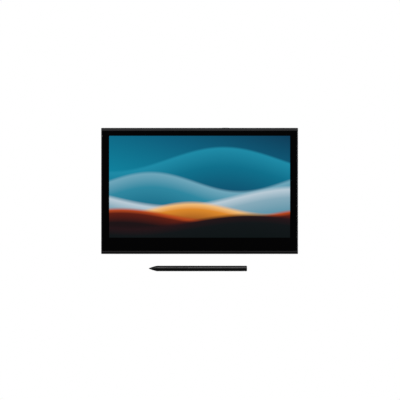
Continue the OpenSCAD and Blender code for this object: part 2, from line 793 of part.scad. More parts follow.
module led_strip() color(sheet_white) on_tablet()
  translate([0, screen_y - screen_d / 2 - led_line, 0]) {
    pitch = sheet_w / led_count;
    translate([0, led_strip_t / 2, 0]) slab(sheet_w, led_strip_t, z_reflector, z_diffuser);
    for (i = [0 : led_count - 1])
      translate([pitch * (i + 0.5) - sheet_w / 2, led_strip_t + led_d / 2, 0])
        slab(led_w, led_d, z_guide, z_guide + led_h);
  }

module backlight_frame() color(sheet_white) on_tablet() translate([0, backlight_y, 0])
  difference() {
    slab(panel_w, backlight_d, z_reflector, z_panel);
    slab(pocket_w, pocket_d, z_reflector - over, z_panel + over);
  }

module digitizer_board() color(board_green) on_tablet() translate([0, backlight_y, 0])
  slab(panel_w, backlight_d, z_sensor, z_reflector);

module shield_plate() color(steel) on_tablet() translate([0, backlight_y, 0])
  slab(panel_w, backlight_d, z_mid_top, z_sensor);

module mid_frame() color(cast_grey) on_tablet() difference() {
  union() {
    plate(cavity_w - 2 * mid_side_gap, cavity_d - 2 * mid_side_gap, cavity_r, z_mid, z_mid_top);
    at_spots(cover_screw_spots) post(boss_r, z_pad, z_mid + root);
    at_spots(board_screw_spots) post(boss_r, z_board_top, z_mid + root);
  }
  at_spots(cover_screw_spots) post(screw_r + thread_gap, z_pad - over, z_mid);
  at_spots(board_screw_spots) post(screw_r + thread_gap, z_board_top - over, z_mid);
  at_spots(frame_screw_spots) post(screw_r + hole_gap, z_mid - over, z_mid_top + over);
  translate([0, near_slot_y, 0])
    slab(display_cable_w + 2 * cable_slot_gap, cable_slot_d, z_mid - over, z_mid_top + over);
  translate([sensor_cable_x, far_slot_y, 0])
    slab(sensor_cable_w + 2 * cable_slot_gap, cable_slot_d, z_mid - over, z_mid_top + over);
}

module driver_board() color(board_green) on_tablet() translate([0, driver_y, 0])
  slab(driver_w, driver_d, z_mid_top, z_driver);

// Films from the underside of the panel's shelf down to the driver board
module panel_films() color(flex_amber) on_tablet() {
  z_on_panel = z_panel - flex_t / 2;
  z_on_driver = z_driver + flex_t / 2;
  pitch = driver_w / film_count;
  path = [[film_start, z_on_panel], [panel_near + film_drop / 2, z_on_panel],
    [panel_near - panel_gap, z_film_low], [driver_far + film_drop, z_on_driver],
    [driver_far - film_land, z_on_driver]];
  for (i = [0 : film_count - 1])
    translate([pitch * (i + 0.5) - driver_w / 2, 0, 0]) ribbon(path, film_w);
}

// From the driver board through the near slot and along the mid frame to the main board
module display_cable() color(flex_amber) on_tablet() {
  z_on_driver = z_driver + flex_t / 2;
  z_under_mid = z_mid - flex_t / 2;
  z_on_board = z_board_top + flex_t / 2;
  ribbon([[driver_near + film_land, z_on_driver], [near_slot_y + cable_bend, z_on_driver],
    [near_slot_y, z_on_driver - cable_bend], [near_slot_y, z_under_mid + cable_bend],
    [near_slot_y + cable_bend, z_under_mid], [board_near - cable_drop_run, z_under_mid],
    [board_near, z_on_board], [board_near + cable_land, z_on_board]], display_cable_w);
}

// From the pen sensor's far edge through the far slot to the main board
module sensor_cable() color(flex_amber) on_tablet() translate([sensor_cable_x, 0, 0]) {
  z_edge = (z_sensor + z_reflector) / 2;
  z_on_board = z_board_top + flex_t / 2;
  ribbon([[panel_far, z_edge], [far_slot_y - cable_bend, z_edge],
    [far_slot_y, z_edge - cable_bend], [far_slot_y, z_on_board + cable_bend],
    [far_slot_y - cable_bend, z_on_board], [far_slot_y - cable_bend - cable_land, z_on_board]],
    sensor_cable_w);
}

module main_board() color(board_green) on_tablet() difference() {
  translate([0, board_y, 0]) slab(board_w, board_d, z_board, z_board_top);
  for (x = [left_usb_x, right_usb_x])
    translate([x, (usb_back + board_far + over) / 2, 0])
      slab(usb_w + 2 * usb_gap, board_far + over - usb_back + 2 * usb_gap, z_board - over,
        z_board_top + over);
  at_spots(board_screw_spots) post(screw_r + hole_gap, z_board - over, z_board_top + over);
}

module cable_socket(x, y, cable_w) {
  translate([x, y, 0]) slab(cable_w + 2 * cable_socket_side, cable_socket_d, z_board_top,
    z_board_top + cable_socket_h);
}

// Chips under the board, cable sockets, coils and the status LED on it, driver chips
module board_chips() color(chip_black) on_tablet() {
  for (c = chips_under)
    translate([c[0], board_y + c[1], 0]) slab(c[2], c[3], z_board - c[4], z_board);
  for (c = chips_over)
    translate([c[0], board_y + c[1], 0]) slab(c[2], c[3], z_board_top, z_board_top + c[4]);
  for (c = driver_chips)
    translate([c[0], driver_y + c[1], 0]) slab(c[2], c[3], z_driver, z_driver + c[4]);
  cable_socket(0, board_near + cable_land + cable_socket_d / 2, display_cable_w);
  cable_socket(sensor_cable_x, far_slot_y - cable_bend - cable_land - cable_socket_d / 2,
    sensor_cable_w);
  translate([pipe_x, board_far - pipe_reach - status_led_d / 2, 0])
    slab(status_led_w, status_led_d, z_board_top, z_board_top + status_led_h);
}

module usb_at(x) {
  on_tablet() translate([x, half_d - usb_recess, z_port]) rotate([90, 0, 0]) children();
}

// Pressed shell with a closed back and four tabs on the board
module usb_shell() {
  on_board = half_d - usb_recess - board_far;
  difference() {
    linear_extrude(usb_l) stadium(usb_w, usb_h);
    translate([0, 0, -over]) linear_extrude(usb_l - usb_wall + over)
      stadium(usb_w - 2 * usb_wall, usb_h - 2 * usb_wall);
  }
  for (m = [0, 1], u = [on_board + usb_tab_inset, usb_l - usb_tab_inset - usb_tab_l])
    mirror([m, 0, 0]) translate([usb_w / 2 - usb_tab_root, board_t / 2, u])
      cube([usb_tab_root + usb_tab_reach, usb_tab_t, usb_tab_l]);
}

module left_usb_shell() color(steel) usb_at(left_usb_x) usb_shell();

module right_usb_shell() color(steel) usb_at(right_usb_x) usb_shell();

module usb_tongues() color(chip_black) for (x = [left_usb_x, right_usb_x]) usb_at(x) {
  back = usb_l - usb_wall;
  side = usb_wall + tongue_gap;
  translate([0, 0, back - tongue_base]) linear_extrude(tongue_base)
    stadium(usb_w - 2 * side, usb_h - 2 * side);
  translate([-tongue_w / 2, -tongue_t / 2, back - tongue_base - tongue_l])
    cube([tongue_w, tongue_t, tongue_l + tongue_base / 2]);
}

module power_switch() color(dark_steel) on_tablet() difference() {
  translate([key_x, switch_face - switch_d / 2, 0])
    slab(switch_w, switch_d, z_board_top, z_board_top + switch_h);
  translate([key_x, switch_face + over, z_key]) rotate([90, 0, 0])
    cylinder(r = key_stem_r + key_stem_gap,
      h = over + key_stem_sink + key_travel + key_stem_room);
}

module power_button() color(case_black) on_tablet() translate([key_x, 0, z_key]) {
  translate([0, half_d + key_proud, 0]) rotate([90, 0, 0])
    linear_extrude(half_d + key_proud - key_back) stadium(key_w, key_h);
  translate([-key_w / 2 - key_ear, key_back, -key_h / 2])
    cube([key_w + 2 * key_ear, key_ear_t, key_h]);
  translate([0, key_back + key_ear_t / 2, 0]) rotate([90, 0, 0])
    cylinder(r = key_stem_r, h = key_back + key_ear_t / 2 - switch_face + key_stem_sink);
}

module status_light_pipe() color(sheet_white) on_tablet() translate([pipe_x, 0, z_pipe]) {
  translate([0, half_d, 0]) rotate([90, 0, 0])
    cylinder(r = pipe_r, h = half_d - board_far + pipe_reach);
  translate([0, half_d - wall_t, 0]) rotate([90, 0, 0])
    cylinder(r = pipe_flange_r, h = pipe_flange_t);
}

// Plan of a leg's recess with its finger notch, round the pivot
module recess_plan(grow) {
  low = recess_near - grow;
  high = hinge_back + grow;
  w = recess_w + 2 * grow;
  translate([0, (low + high) / 2]) rounded_rect(w, high - low, leg_r + grow);
  translate([-w / 2, high - hinge_square]) square([w, hinge_square]);
  translate([0, recess_near]) rounded_rect(notch_w + 2 * grow, 2 * (notch_d + grow), notch_r + grow);
}

module at_hinges() {
  for (s = [-1, 1]) translate([s * leg_x, hinge_y, 0]) children();
}

module back_cover() color(case_black) on_tablet() difference() {
  union() {
    difference() {
      plate(tablet_w, tablet_d, corner_r, z_cover, z_parting);
      bottom_bevels(tablet_w, tablet_d, z_cover, cover_bevel_run, cover_bevel_run,
        cover_bevel_rise);
      top_bevels(tablet_w, tablet_d, z_parting, seam_bevel, seam_bevel, seam_bevel);
      plate(cavity_w, cavity_d, cavity_r, z_floor, z_parting + over);
    }
    difference() {
      plate(cavity_w + 2 * lip_t, cavity_d + 2 * lip_t, cavity_r, z_parting - seam_bevel - root,
        z_parting + lip_h);
      plate(cavity_w, cavity_d, cavity_r, z_floor, z_parting + lip_h + over);
    }
    at_spots(cover_screw_spots) post(head_r + head_gap + seat_t, z_floor - root, z_pad);
    at_hinges() {
      translate([0, 0, z_floor - root])
        linear_extrude(z_recess + recess_t - z_floor + root) recess_plan(recess_t);
      slab(pin_l, 2 * (pin_r + pin_wall), z_floor - root, z_recess + recess_t);
    }
  }
  at_hinges() {
    translate([0, 0, z_cover - over]) linear_extrude(z_recess - z_cover + over) recess_plan(0);
    translate([0, 0, z_hinge]) rotate([0, 90, 0])
      cylinder(r = pin_r + press_gap, h = pin_l + 2 * over, center = true);
  }
  at_spots(cover_screw_spots) {
    post(screw_r + hole_gap, z_cover, z_pad + over);
    post(head_r + head_gap, z_cover - over, z_seat);
  }
  for (sx = [-1, 1], sy = [-1, 1])
    translate([sx * foot_x, sy * foot_y, z_cover - over])
      linear_extrude(over + foot_sink) stadium(foot_l, foot_w);
  for (x = [left_usb_x, right_usb_x])
    far_hole(x, z_port, usb_w + 2 * usb_gap, usb_h + 2 * usb_gap);
  far_hole(key_x, z_key, key_w + 2 * key_gap, key_h + 2 * key_gap);
  translate([pipe_x, half_d - wall_t / 2, z_pipe]) rotate([90, 0, 0])
    cylinder(r = pipe_r + press_gap, h = wall_t + 2 * over, center = true);
}

// A folded leg round its pivot, its outer face down
module leg() {
  inner_w = leg_w - 2 * leg_rib;
  inner_l = leg_l - pad_sink - leg_rib - leg_t;
  difference() {
    union() {
      translate([0, 0, -leg_t / 2]) linear_extrude(leg_t) {
        translate([0, -leg_l / 2]) rounded_rect(leg_w, leg_l, leg_r);
        translate([-leg_w / 2, -hinge_square]) square([leg_w, hinge_square]);
      }
      rotate([0, 90, 0]) cylinder(r = leg_t / 2, h = leg_w, center = true);
    }
    rotate([0, 90, 0]) cylinder(r = pin_r + pin_run, h = leg_w + 2 * over, center = true);
    translate([-pad_w / 2, -leg_l - over, -pad_h / 2]) cube([pad_w, over + pad_sink, pad_h]);
    for (i = [0, 1], j = [0, 1])
      translate([-leg_w / 2 + leg_rib + i * (inner_w + leg_rib) / 2,
          -leg_t - inner_l + j * (inner_l + leg_rib) / 2, -leg_t / 2 + leg_skin])
        cube([(inner_w - leg_rib) / 2, (inner_l - leg_rib) / 2, leg_t]);
  }
}

module leg_pad()
  translate([-pad_w / 2, -leg_l - pad_proud, -pad_h / 2]) cube([pad_w, pad_proud + pad_sink, pad_h]);

module leg_pin() rotate([0, 90, 0]) cylinder(r = pin_r, h = pin_l, center = true);

module at_hinge(side) {
  on_tablet() translate([side * leg_x, hinge_y, z_hinge]) children();
}

module left_leg() color(case_black) at_hinge(-1) leg();

module right_leg() color(case_black) at_hinge(1) leg();

module left_leg_pad() color(rubber_black) at_hinge(-1) leg_pad();

module right_leg_pad() color(rubber_black) at_hinge(1) leg_pad();

module left_leg_pin() color(steel) at_hinge(-1) leg_pin();

module right_leg_pin() color(steel) at_hinge(1) leg_pin();

module hinge_washers() color(steel) for (side = [-1, 1], end = [-1, 1]) at_hinge(side)
  translate([end * (leg_w + leg_side_gap) / 2, 0, 0]) rotate([0, 90, 0]) difference() {
    cylinder(r = pin_r + washer_band, h = washer_t, center = true);
    cylinder(r = pin_r + press_gap, h = washer_t + over, center = true);
  }

module feet(sy) {
  for (sx = [-1, 1]) translate([sx * foot_x, sy * foot_y, 0])
    linear_extrude(foot_h + foot_sink) stadium(foot_l, foot_w);
}

module near_feet() color(rubber_black) on_tablet() feet(-1);

module far_feet() color(rubber_black) on_tablet() feet(1);

module cover_screws() color(dark_steel) on_tablet()
  at_spots(cover_screw_spots) screw(z_seat, z_mid - tip_gap);

module frame_screws() color(steel) on_tablet()
  at_spots(frame_screw_spots) screw(z_mid, z_ledge_under - tip_gap);

module board_screws() color(steel) on_tablet()
  at_spots(board_screw_spots) screw(z_board, z_mid - tip_gap);

module along_pen() {
  translate([pen_tip_x, pen_y, pen_r]) rotate([0, 90, 0]) children();
}

module pen_box(from, to, w, low, high) {
  translate([pen_tip_x + from, pen_y - w / 2, pen_r + low]) cube([to - from, w, high - low]);
}

module pen_rod(r, from, to) { translate([0, 0, from]) cylinder(r = r, h = to - from); }

module pen_stem(at, r, low, high) {
  translate([pen_tip_x + at + pen_key_l / 2, pen_y, pen_r]) post(r, low, high);
}

module pen_nib() color(chip_black) along_pen() {
  translate([0, 0, nib_r]) sphere(nib_r);
  pen_rod(nib_r, nib_r, nib_end);
}

module pen_nib_holder() color(dark_steel) along_pen() difference() {
  pen_rod(holder_r, holder_at, holder_end);
  pen_rod(nib_r + press_gap, holder_at - over, nib_end);
}

function cone_side(t) = cone_tip_r + (pen_r - cone_tip_r) * t * (1 + cone_bulge * (1 - t));

module pen_cone() color(pen_black) along_pen() difference() {
  steps = 12;
  side_l = cone_l - pen_seam - nib_show;
  rotate_extrude() polygon(concat(
    [[0, nib_show]],
    [for (i = [0 : steps]) [cone_side(i / steps), nib_show + side_l * i / steps]],
    [[pen_r - pen_seam, cone_l], [plug_r, cone_l], [plug_r, cone_l + plug_l],
      [0, cone_l + plug_l]]));
  pen_rod(nib_r + nib_gap, 0, pen_l);
  pen_rod(ferrite_r + press_gap, ferrite_at, pen_l);
  pen_rod(coil_r + coil_gap, ferrite_at + ferrite_seat, pen_l);
}

module barrel(from, to) {
  rotate_extrude() polygon([[bore_r, from], [pen_r - pen_seam, from], [pen_r, from + pen_seam],
    [pen_r, to - pen_seam], [pen_r - pen_seam, to], [bore_r, to]]);
}

module key_slot(at) {
  pen_box(at - pen_key_gap, at + pen_key_l + pen_key_gap, pen_key_w + 2 * pen_key_gap, 0, pen_d);
}

module pen_grip_barrel() color(pen_black) difference() {
  along_pen() barrel(cone_l, grip_end);
  key_slot(pen_key_at);
  key_slot(second_key_at);
}

// Barrel with a plug that runs on inside it
module pen_rear_barrel() color(pen_black) along_pen() {
  barrel(grip_end, cap_at);
  difference() {
    union() {
      pen_rod(plug_r, grip_end - plug_l, grip_end + plug_l);
      pen_rod(bore_r, grip_end, grip_end + plug_l);
    }
    pen_rod(plug_r - plug_wall, grip_end - plug_l - over, grip_end + plug_l + over);
  }
}

module pen_end_cap() color(pen_black) along_pen() {
  mid = pen_l - cap_groove;
  rotate_extrude() polygon([[0, cap_at - plug_l], [plug_r, cap_at - plug_l], [plug_r, cap_at],
    [pen_r - pen_seam, cap_at], [pen_r, cap_at + pen_seam], [pen_r, mid - groove_d],
    [pen_r - groove_d, mid - groove_d / 2], [pen_r - groove_d, mid + groove_d / 2],
    [pen_r, mid + groove_d], [pen_r, pen_l - cap_bevel], [pen_r - cap_bevel, pen_l], [0, pen_l]]);
}

// Cap that follows the barrel, flange under the barrel's wall, stem into the switch
module pen_button(at) {
  end = pen_key_gap + pen_key_flange;
  intersection() {
    along_pen() pen_rod(pen_r + pen_key_proud, at, at + pen_key_l);
    pen_box(at, at + pen_key_l, pen_key_w, pen_key_floor, pen_d);
  }
  pen_box(at - end, at + pen_key_l + end, pen_flange_w, pen_key_floor,
    pen_key_floor + pen_key_flange_t);
  pen_stem(at, pen_stem_r, pen_switch_top - pen_stem_sink, pen_key_floor + pen_key_flange_t / 2);
}

module pen_lower_button() color(pen_black) pen_button(pen_key_at);

module pen_upper_button() color(pen_black) pen_button(second_key_at);

module pen_tact_switches() color(dark_steel) for (at = [pen_key_at, second_key_at])
  difference() {
    from = at + (pen_key_l - pen_switch_w) / 2;
    pen_box(from, from + pen_switch_w, pen_switch_w, pen_board_top, pen_switch_top);
    pen_stem(at, pen_stem_r + nib_gap,
      pen_switch_top - pen_stem_sink - pen_key_travel - pen_stem_room, pen_r);
  }

// Tube that holds the core's end and the sensor, and the tray behind it
module pen_carrier() color(dark_steel) difference() {
  along_pen() difference() {
    pen_rod(carrier_r, carrier_at, tray_end);
    pen_rod(ferrite_r + press_gap, carrier_at - over, ferrite_end + over);
    pen_rod(carrier_in, carrier_at + carrier_front, tray_at);
  }
  pen_box(tray_at, tray_end + over, pen_d, -tray_drop, pen_d);
}

module pen_circuit_board() color(board_green)
  pen_box(tray_at + pen_board_end, tray_end - pen_board_end, pen_board_w, -tray_drop,
    pen_board_top);

module pen_pressure_sensor() color(cast_grey) along_pen()
  pen_rod(carrier_in - press_gap, gauge_at, gauge_at + gauge_l);

module pen_ferrite_core() color(chip_black) along_pen() difference() {
  pen_rod(ferrite_r, ferrite_at, ferrite_end);
  pen_rod(nib_r + nib_gap, ferrite_at - over, ferrite_end + over);
}

module pen_coil() color(copper) along_pen() difference() {
  pen_rod(coil_r, coil_at, coil_end);
  pen_rod(ferrite_r + press_gap, coil_at - over, coil_end + over);
}

front_frame();
cover_glass();
glass_gasket();
bonding_film();
display_panel();
diffuser_sheet();
light_guide();
reflector_sheet();
led_strip();
backlight_frame();
digitizer_board();
shield_plate();
mid_frame();
driver_board();
panel_films();
display_cable();
sensor_cable();
main_board();
board_chips();
left_usb_shell();
right_usb_shell();
usb_tongues();
power_switch();
power_button();
status_light_pipe();
back_cover();
left_leg();
right_leg();
left_leg_pad();
right_leg_pad();
left_leg_pin();
right_leg_pin();
hinge_washers();
near_feet();
far_feet();
cover_screws();
frame_screws();
board_screws();
pen_nib();
pen_nib_holder();
pen_cone();
pen_grip_barrel();
pen_rear_barrel();
pen_end_cap();
pen_lower_button();
pen_upper_button();
pen_tact_switches();
pen_carrier();
pen_circuit_board();
pen_pressure_sensor();
pen_ferrite_core();
pen_coil();
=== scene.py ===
"""Looks of a pen display that lies flat with its pen in front of it, seen from straight above."""

import json
import math

import bmesh
import bpy
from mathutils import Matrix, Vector

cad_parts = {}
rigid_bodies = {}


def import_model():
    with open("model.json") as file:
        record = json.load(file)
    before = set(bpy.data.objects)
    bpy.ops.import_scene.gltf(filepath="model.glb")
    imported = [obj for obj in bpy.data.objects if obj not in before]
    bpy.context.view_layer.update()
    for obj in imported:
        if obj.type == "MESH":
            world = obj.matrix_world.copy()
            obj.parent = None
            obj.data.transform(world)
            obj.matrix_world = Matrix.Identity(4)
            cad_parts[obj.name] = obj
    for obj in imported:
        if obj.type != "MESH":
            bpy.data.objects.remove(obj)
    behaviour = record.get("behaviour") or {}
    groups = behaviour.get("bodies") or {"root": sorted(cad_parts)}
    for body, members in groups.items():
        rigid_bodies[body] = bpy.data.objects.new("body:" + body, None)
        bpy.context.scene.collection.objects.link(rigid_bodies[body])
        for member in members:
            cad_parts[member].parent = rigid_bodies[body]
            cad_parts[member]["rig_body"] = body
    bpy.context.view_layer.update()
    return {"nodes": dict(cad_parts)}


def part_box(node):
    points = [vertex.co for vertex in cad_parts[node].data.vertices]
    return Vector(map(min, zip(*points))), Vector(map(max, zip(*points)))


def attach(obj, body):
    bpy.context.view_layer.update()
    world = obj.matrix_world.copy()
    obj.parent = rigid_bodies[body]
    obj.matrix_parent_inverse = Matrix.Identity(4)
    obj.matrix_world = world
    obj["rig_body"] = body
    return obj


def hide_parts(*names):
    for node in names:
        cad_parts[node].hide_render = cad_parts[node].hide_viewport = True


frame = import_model()

# Sizes are in metres, and places are worked out from the frame's own boxes
MM = 0.001
X, Y, Z = 0, 1, 2
LOW, HIGH = 0, 1
nodes = frame["nodes"]
slot_of = {name: node.active_material.name for name, node in nodes.items()}
body_of = {name: node["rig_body"] for name, node in nodes.items()}
guide_low, guide_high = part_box("light_guide")
frame_low, frame_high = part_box("front_frame")
barrel_low, barrel_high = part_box("pen_grip_barrel")
rim_top = frame_high.z

# Lit part of the panel: its pixels, over the middle of the light guide
PIXEL = 0.153 * MM
PIXELS_ACROSS = 1920
PIXELS_UP = 1080
screen_middle = (guide_low + guide_high) / 2
half_height = PIXELS_UP * PIXEL / 2
screen_shape = PIXELS_ACROSS / PIXELS_UP

# The pen's long axis
pen_y = (barrel_low.y + barrel_high.y) / 2
pen_z = (barrel_low.z + barrel_high.z) / 2
pen_radius = (barrel_high.z - barrel_low.z) / 2


# Nodes and colours

# Sockets of a mix node, which go by number because their names repeat
MIX_BY, FLOAT_A, FLOAT_B, COLOUR_A, COLOUR_B = 0, 2, 3, 6, 7
FLOAT_OUT, COLOUR_OUT = 0, 2

BLACK = (0, 0, 0, 1)
WHITE = (1, 1, 1, 1)


def add(tree, kind, inputs=None, stops=None, **settings):
    """Adds a node with its settings, its links or values by socket, and a ramp's stops."""
    node = tree.nodes.new(kind)
    for name, value in settings.items():
        setattr(node, name, value)
    for socket, value in (inputs or {}).items():
        if isinstance(value, bpy.types.NodeSocket):
            tree.links.new(value, node.inputs[socket])
        else:
            node.inputs[socket].default_value = value
    if stops:
        elements = node.color_ramp.elements
        while len(elements) < len(stops):
            elements.new(1.0)
        for element, (position, colour) in zip(elements, stops):
            element.position = position
            element.color = colour
    return node


def linear(code, alpha=1.0):
    """Linear colour of an sRGB hex code."""
    channels = [int(code[i:i + 2], 16) / 255 for i in (1, 3, 5)]
    return (*(c / 12.92 if c <= 0.04045 else ((c + 0.055) / 1.055) ** 2.4 for c in channels), alpha)


def shaded(code, factor):
    """Linear colour of an sRGB hex code, made lighter or darker."""
    red, green, blue, alpha = linear(code)
    return (red * factor, green * factor, blue * factor, alpha)


def per_mm(size):
    """Texture scale of a pattern whose grains are so many millimetres wide."""
    return 1 / (size * MM)


def bands(pitch):
    """Texture scale of bands so many millimetres apart. A wave texture runs through 20 radians in a unit."""
    return per_mm(pitch) * math.tau / 20


def cleared(owner):
    """Node tree of a material or a world, emptied."""
    owner.use_nodes = True
    owner.node_tree.nodes.clear()
    return owner.node_tree


def new_material(name):
    """A material, its node tree and the place on the object that its patterns follow."""
    material = bpy.data.materials.new(name)
    tree = cleared(material)
    return material, tree, add(tree, "ShaderNodeTexCoord").outputs["Object"]


# Plastics and rubber

CLOUD = 22  # mm, slow drift of a moulding's colour
DRIFT = 0.12  # share by which that drift lightens or darkens the colour


def moulded(name, code, grain, depth, roughness, spread=0.06, specular=0.5):
    """Moulded plastic or rubber: pimples from the mould break up the shine, and the colour drifts a little.
    Real pimples are a tenth of a millimetre wide, and these are drawn coarser so that they show."""
    material, tree, place = new_material(name)
    cloud = add(tree, "ShaderNodeTexNoise", {"Vector": place, "Scale": per_mm(CLOUD), "Detail": 3.0})
    tone = add(tree, "ShaderNodeValToRGB", {"Fac": cloud.outputs["Fac"]},
               stops=((0.3, shaded(code, 1 - DRIFT)), (0.7, shaded(code, 1 + DRIFT))))
    pimples = add(tree, "ShaderNodeTexNoise", {"Vector": place, "Scale": per_mm(grain), "Detail": 2.0})
    shine = add(tree, "ShaderNodeMapRange",
                {"Value": pimples.outputs["Fac"], "From Min": 0.3, "From Max": 0.7,
                 "To Min": roughness - spread, "To Max": roughness + spread})
    relief = add(tree, "ShaderNodeBump", {"Height": pimples.outputs["Fac"], "Distance": depth * MM})
    shader = add(tree, "ShaderNodeBsdfPrincipled",
                 {"Base Color": tone.outputs["Color"], "Roughness": shine.outputs["Result"], "IOR": 1.5,
                  "Specular IOR Level": specular, "Normal": relief.outputs["Normal"]})
    add(tree, "ShaderNodeOutputMaterial", {"Surface": shader.outputs["BSDF"]})
    return material


def foam_tape(name):
    """Acrylic foam tape: matt black with open cells along its cut edge, drawn at 0.4 mm so that they show.
    Each cell is painted darker in its hollow middle, as shade in the pore.
    """
    material, tree, place = new_material(name)
    cells = add(tree, "ShaderNodeTexVoronoi", {"Vector": place, "Scale": per_mm(0.4)})
    # Painted shade: each cell is darker in its hollow middle
    tone = add(tree, "ShaderNodeValToRGB", {"Fac": cells.outputs["Distance"]},
               stops=((0.1, linear("#0c0c0d")), (0.6, linear("#1e1e20"))))
    relief = add(tree, "ShaderNodeBump", {"Height": cells.outputs["Distance"], "Distance": 0.05 * MM})
    shader = add(tree, "ShaderNodeBsdfPrincipled",
                 {"Base Color": tone.outputs["Color"], "Roughness": 0.9, "Normal": relief.outputs["Normal"]})
    add(tree, "ShaderNodeOutputMaterial", {"Surface": shader.outputs["BSDF"]})
    return material


# Metals

def metal(name, code, grain, roughness, depth):
    """Metal with a grain of so many millimetres along X, Y and Z: long for rolled sheet, even for a casting.
    It is drawn coarser than the real grain so that it shows."""
    material, tree, place = new_material(name)
    drawn = add(tree, "ShaderNodeMapping", {"Vector": place, "Scale": [per_mm(size) for size in grain]})
    lines = add(tree, "ShaderNodeTexNoise", {"Vector": drawn.outputs["Vector"], "Scale": 1.0, "Detail": 4.0})
    tone = add(tree, "ShaderNodeValToRGB", {"Fac": lines.outputs["Fac"]},
               stops=((0.25, shaded(code, 0.8)), (0.75, shaded(code, 1.1))))
    shine = add(tree, "ShaderNodeMapRange",
                {"Value": lines.outputs["Fac"], "From Min": 0.3, "From Max": 0.7,
                 "To Min": roughness - 0.08, "To Max": roughness + 0.1})
    relief = add(tree, "ShaderNodeBump", {"Height": lines.outputs["Fac"], "Distance": depth * MM})
    shader = add(tree, "ShaderNodeBsdfPrincipled",
                 {"Base Color": tone.outputs["Color"], "Metallic": 1.0, "Roughness": shine.outputs["Result"],
                  "Normal": relief.outputs["Normal"]})
    add(tree, "ShaderNodeOutputMaterial", {"Surface": shader.outputs["BSDF"]})
    return material


def enamelled_wire(name):
    """Enamelled copper wound along the pen: amber gloss in tight turns, drawn at 0.5 mm so that they show.
    The grooves between turns are painted darker, as shade.
    """
    material, tree, place = new_material(name)
    turns = add(tree, "ShaderNodeTexWave", {"Vector": place, "Scale": bands(0.5), "Distortion": 0.3},
                wave_type="BANDS", bands_direction="X")
    # Painted shade: the low grooves between turns are darker than the wire's amber
    tone = add(tree, "ShaderNodeValToRGB", {"Fac": turns.outputs["Fac"]},
               stops=((0.1, linear("#4a1c0a")), (0.6, linear("#b8622c"))))
    relief = add(tree, "ShaderNodeBump", {"Height": turns.outputs["Fac"], "Distance": 0.1 * MM})
    shader = add(tree, "ShaderNodeBsdfPrincipled",
                 {"Base Color": tone.outputs["Color"], "Metallic": 0.7, "Roughness": 0.3, "Coat Weight": 0.6,
                  "Normal": relief.outputs["Normal"]})
    add(tree, "ShaderNodeOutputMaterial", {"Surface": shader.outputs["BSDF"]})
    return material


def sintered_ferrite(name):
    """Ground ferrite: dark grey ceramic with a sparkle of grains, drawn at 0.25 mm so that they show."""
    material, tree, place = new_material(name)
    grains = add(tree, "ShaderNodeTexVoronoi", {"Vector": place, "Scale": per_mm(0.25)})
    tone = add(tree, "ShaderNodeValToRGB", {"Fac": grains.outputs["Color"]},
               stops=((0.2, linear("#26262a")), (0.8, linear("#4a4a50"))))
    shader = add(tree, "ShaderNodeBsdfPrincipled",
                 {"Base Color": tone.outputs["Color"], "Metallic": 0.3, "Roughness": 0.45})
    add(tree, "ShaderNodeOutputMaterial", {"Surface": shader.outputs["BSDF"]})
    return material


# Boards and films

def solder_mask_board(name):
    """Glass-fibre board under green solder mask: straight tracks show paler through the mask in patches, and
    tinned pads shine. The tracks are drawn 1.2 mm apart, wider than real, so that they show."""
    material, tree, place = new_material(name)
    patches = add(tree, "ShaderNodeTexVoronoi", {"Vector": place, "Scale": per_mm(9)}, distance="CHEBYCHEV")
    pick = add(tree, "ShaderNodeSeparateColor", {"Color": patches.outputs["Color"]})
    runs = [add(tree, "ShaderNodeTexWave", {"Vector": place, "Scale": bands(1.2)},
                wave_type="BANDS", bands_direction=axis).outputs["Fac"] for axis in ("X", "Y")]
    turned = add(tree, "ShaderNodeMath", {0: pick.outputs["Red"], 1: 0.5}, operation="GREATER_THAN")
    run = add(tree, "ShaderNodeMix",
              {MIX_BY: turned.outputs["Value"], FLOAT_A: runs[0], FLOAT_B: runs[1]}, data_type="FLOAT")
    etched = add(tree, "ShaderNodeMath", {0: pick.outputs["Green"], 1: 0.35}, operation="GREATER_THAN")
    tracks = add(tree, "ShaderNodeMath", {0: run.outputs[FLOAT_OUT], 1: etched.outputs["Value"]},
                 operation="MULTIPLY")
    mask = add(tree, "ShaderNodeValToRGB", {"Fac": tracks.outputs["Value"]},
               stops=((0.55, linear("#0d3a22")), (0.7, linear("#1c6a3e"))))
    spots = add(tree, "ShaderNodeTexVoronoi", {"Vector": place, "Scale": per_mm(4)})
    pads = add(tree, "ShaderNodeMath", {0: spots.outputs["Distance"], 1: 0.16}, operation="LESS_THAN")
    tone = add(tree, "ShaderNodeMix",
               {MIX_BY: pads.outputs["Value"], COLOUR_A: mask.outputs["Color"], COLOUR_B: linear("#c9c9c2")},
               data_type="RGBA")
    relief = add(tree, "ShaderNodeBump", {"Height": tracks.outputs["Value"], "Distance": 0.05 * MM})
    shader = add(tree, "ShaderNodeBsdfPrincipled",
                 {"Base Color": tone.outputs[COLOUR_OUT], "Metallic": pads.outputs["Value"],
                  "Roughness": 0.35, "Normal": relief.outputs["Normal"]})
    add(tree, "ShaderNodeOutputMaterial", {"Surface": shader.outputs["BSDF"]})
    return material


def polyimide_film(name):
    """Amber polyimide flex: glossy film with straight copper tracks, drawn 1 mm apart so that they show."""
    material, tree, place = new_material(name)
    tracks = add(tree, "ShaderNodeTexWave", {"Vector": place, "Scale": bands(1)},
                 wave_type="BANDS", bands_direction="X")
    tone = add(tree, "ShaderNodeValToRGB", {"Fac": tracks.outputs["Fac"]},
               stops=((0.4, linear("#7a3c08")), (0.6, linear("#c9782a"))))
    relief = add(tree, "ShaderNodeBump", {"Height": tracks.outputs["Fac"], "Distance": 0.03 * MM})
    shader = add(tree, "ShaderNodeBsdfPrincipled",
                 {"Base Color": tone.outputs["Color"], "Roughness": 0.28, "Normal": relief.outputs["Normal"]})
    add(tree, "ShaderNodeOutputMaterial", {"Surface": shader.outputs["BSDF"]})
    return material


